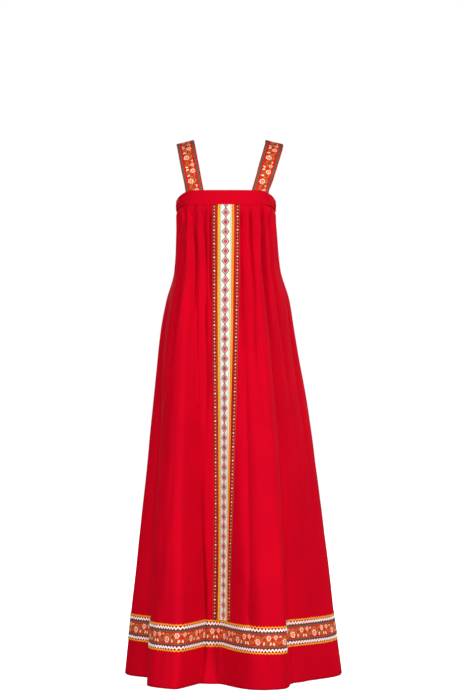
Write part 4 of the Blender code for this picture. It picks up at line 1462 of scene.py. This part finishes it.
give(red_cloth(), skirt_front, skirt_back, yoke_front, yoke_back, *straps)
give(diamond_tape(), centre_tape)
give(gold_yarn("yellow braid", YELLOW_YARN, 1), gold_left)
give(gold_yarn("orange braid", ORANGE_YARN, -1), gold_right)
give(gold_yarn("gold rickrack", YELLOW_YARN, 0), gold_top, gold_bottom)
give(white_yarn(), white_top, white_bottom)
give(dark_braid(), braid_left[0], braid_right[0])
give(metal_dot("silver dot", SILVER, 0.35), braid_left[1], braid_right[1])
give(metal_dot("bronze dot", BRONZE, 0.45), braid_left[2], braid_right[2])
give(floral("floral hem tape", HEM_BANDS), floral_tape)
give(floral("floral strap tape", STRAP_BANDS), *strap_tapes)
give(plain_thread("red thread", THREAD_RED), yoke_front_stitches, yoke_back_stitches)
give(plain_thread("dark thread", DARK_EDGE_SHADE_AND_THREAD), *strap_stitches, *floral_stitches)
give(plain_thread("white thread", TAPE_WHITE), *tape_stitches)

# %% [markdown]
# ## Floor, light and camera
# The dress stands over a plain pale floor in soft, even studio light, as a catalogue would show it.

# %% Floor
FLOOR_BELOW_HEM = 0.0015
FLOOR_GLOW = 0.92


def add_floor():
    """A white floor that only the camera sees, so that it throws no light up into the folds."""
    size = 12.0
    points = np.array([(-size, -size, 0), (size, -size, 0), (size, size, 0), (-size, size, 0)], float)
    points[:, 2] = -DRESS_LENGTH - FLOOR_BELOW_HEM
    mesh = bpy.data.meshes.new("floor")
    mesh.from_pydata(points.tolist(), [], [(0, 1, 2, 3)])
    floor = bpy.data.objects.new("floor", mesh)
    bpy.context.scene.collection.objects.link(floor)
    floor.visible_diffuse = False
    floor.visible_glossy = False
    material = bpy.data.materials.new("floor")
    material.use_nodes = True
    shader = material.node_tree.nodes["Principled BSDF"]
    shader.inputs["Base Color"].default_value = (0.90, 0.90, 0.90, 1.0)
    shader.inputs["Roughness"].default_value = 0.9
    shader.inputs["Emission Color"].default_value = (1.0, 1.0, 1.0, 1.0)
    shader.inputs["Emission Strength"].default_value = FLOOR_GLOW
    mesh.materials.append(material)


add_floor()

# %% Lights
def add_light(name, place, size, power, target=(0.0, 0.0, -0.6)):
    light = bpy.data.lights.new(name, "AREA")
    light.energy = power
    light.size = size
    thing = bpy.data.objects.new(name, light)
    bpy.context.scene.collection.objects.link(thing)
    way = np.array(target) - np.array(place)
    flat = math.hypot(way[0], way[1])
    thing.location = place
    thing.rotation_euler = (math.atan2(flat, -way[2]), 0.0, math.atan2(way[1], way[0]) - math.pi / 2)
    return thing


add_light("key left", (-3.0, -3.8, -0.1), 0.6, 140.0)
add_light("key right", (3.2, -3.6, -0.1), 0.6, 166.0)
add_light("front", (0.2, -4.6, -0.1), 0.9, 70.0)
add_light("side right", (3.4, -1.6, 0.2), 1.6, 14.0)
add_light("side left", (-3.4, -1.6, 0.2), 1.6, 6.0)
add_light("back left", (-1.8, 3.0, 1.2), 1.8, 80.0)
add_light("back right", (2.6, 2.0, 0.8), 1.6, 54.0)

# %% White studio
# The camera sees a white studio, while the dress is lit by a dimmer one, so that its folds keep
# their shadows.
AMBIENT = 0.10
world = bpy.data.worlds.new("studio")
bpy.context.scene.world = world
world.use_nodes = True
studio, nodes = world.node_tree, world.node_tree.nodes
dim, bright = nodes["Background"], nodes.new("ShaderNodeBackground")
dim.inputs["Color"].default_value = bright.inputs["Color"].default_value = (1.0, 1.0, 1.0, 1.0)
dim.inputs["Strength"].default_value = AMBIENT
bright.inputs["Strength"].default_value = 1.0
seen, chosen = nodes.new("ShaderNodeLightPath"), nodes.new("ShaderNodeMixShader")
studio.links.new(seen.outputs["Is Camera Ray"], chosen.inputs[0])
studio.links.new(dim.outputs[0], chosen.inputs[1])
studio.links.new(bright.outputs[0], chosen.inputs[2])
studio.links.new(chosen.outputs[0], nodes["World Output"].inputs["Surface"])
bpy.context.scene.view_settings.view_transform = "Standard"

# %% Camera
CAMERA_PLACE = (0.0169, -5.0, -0.554)
CAMERA_LENS = 1887 / 698 * 36.0
camera = bpy.data.cameras.new("camera")
camera.sensor_width = 36.0
camera.sensor_fit = "AUTO"
camera.lens = CAMERA_LENS
camera_object = bpy.data.objects.new("camera", camera)
bpy.context.scene.collection.objects.link(camera_object)
camera_object.location = CAMERA_PLACE
camera_object.rotation_euler = (math.pi / 2, 0.0, 0.0)
bpy.context.scene.camera = camera_object
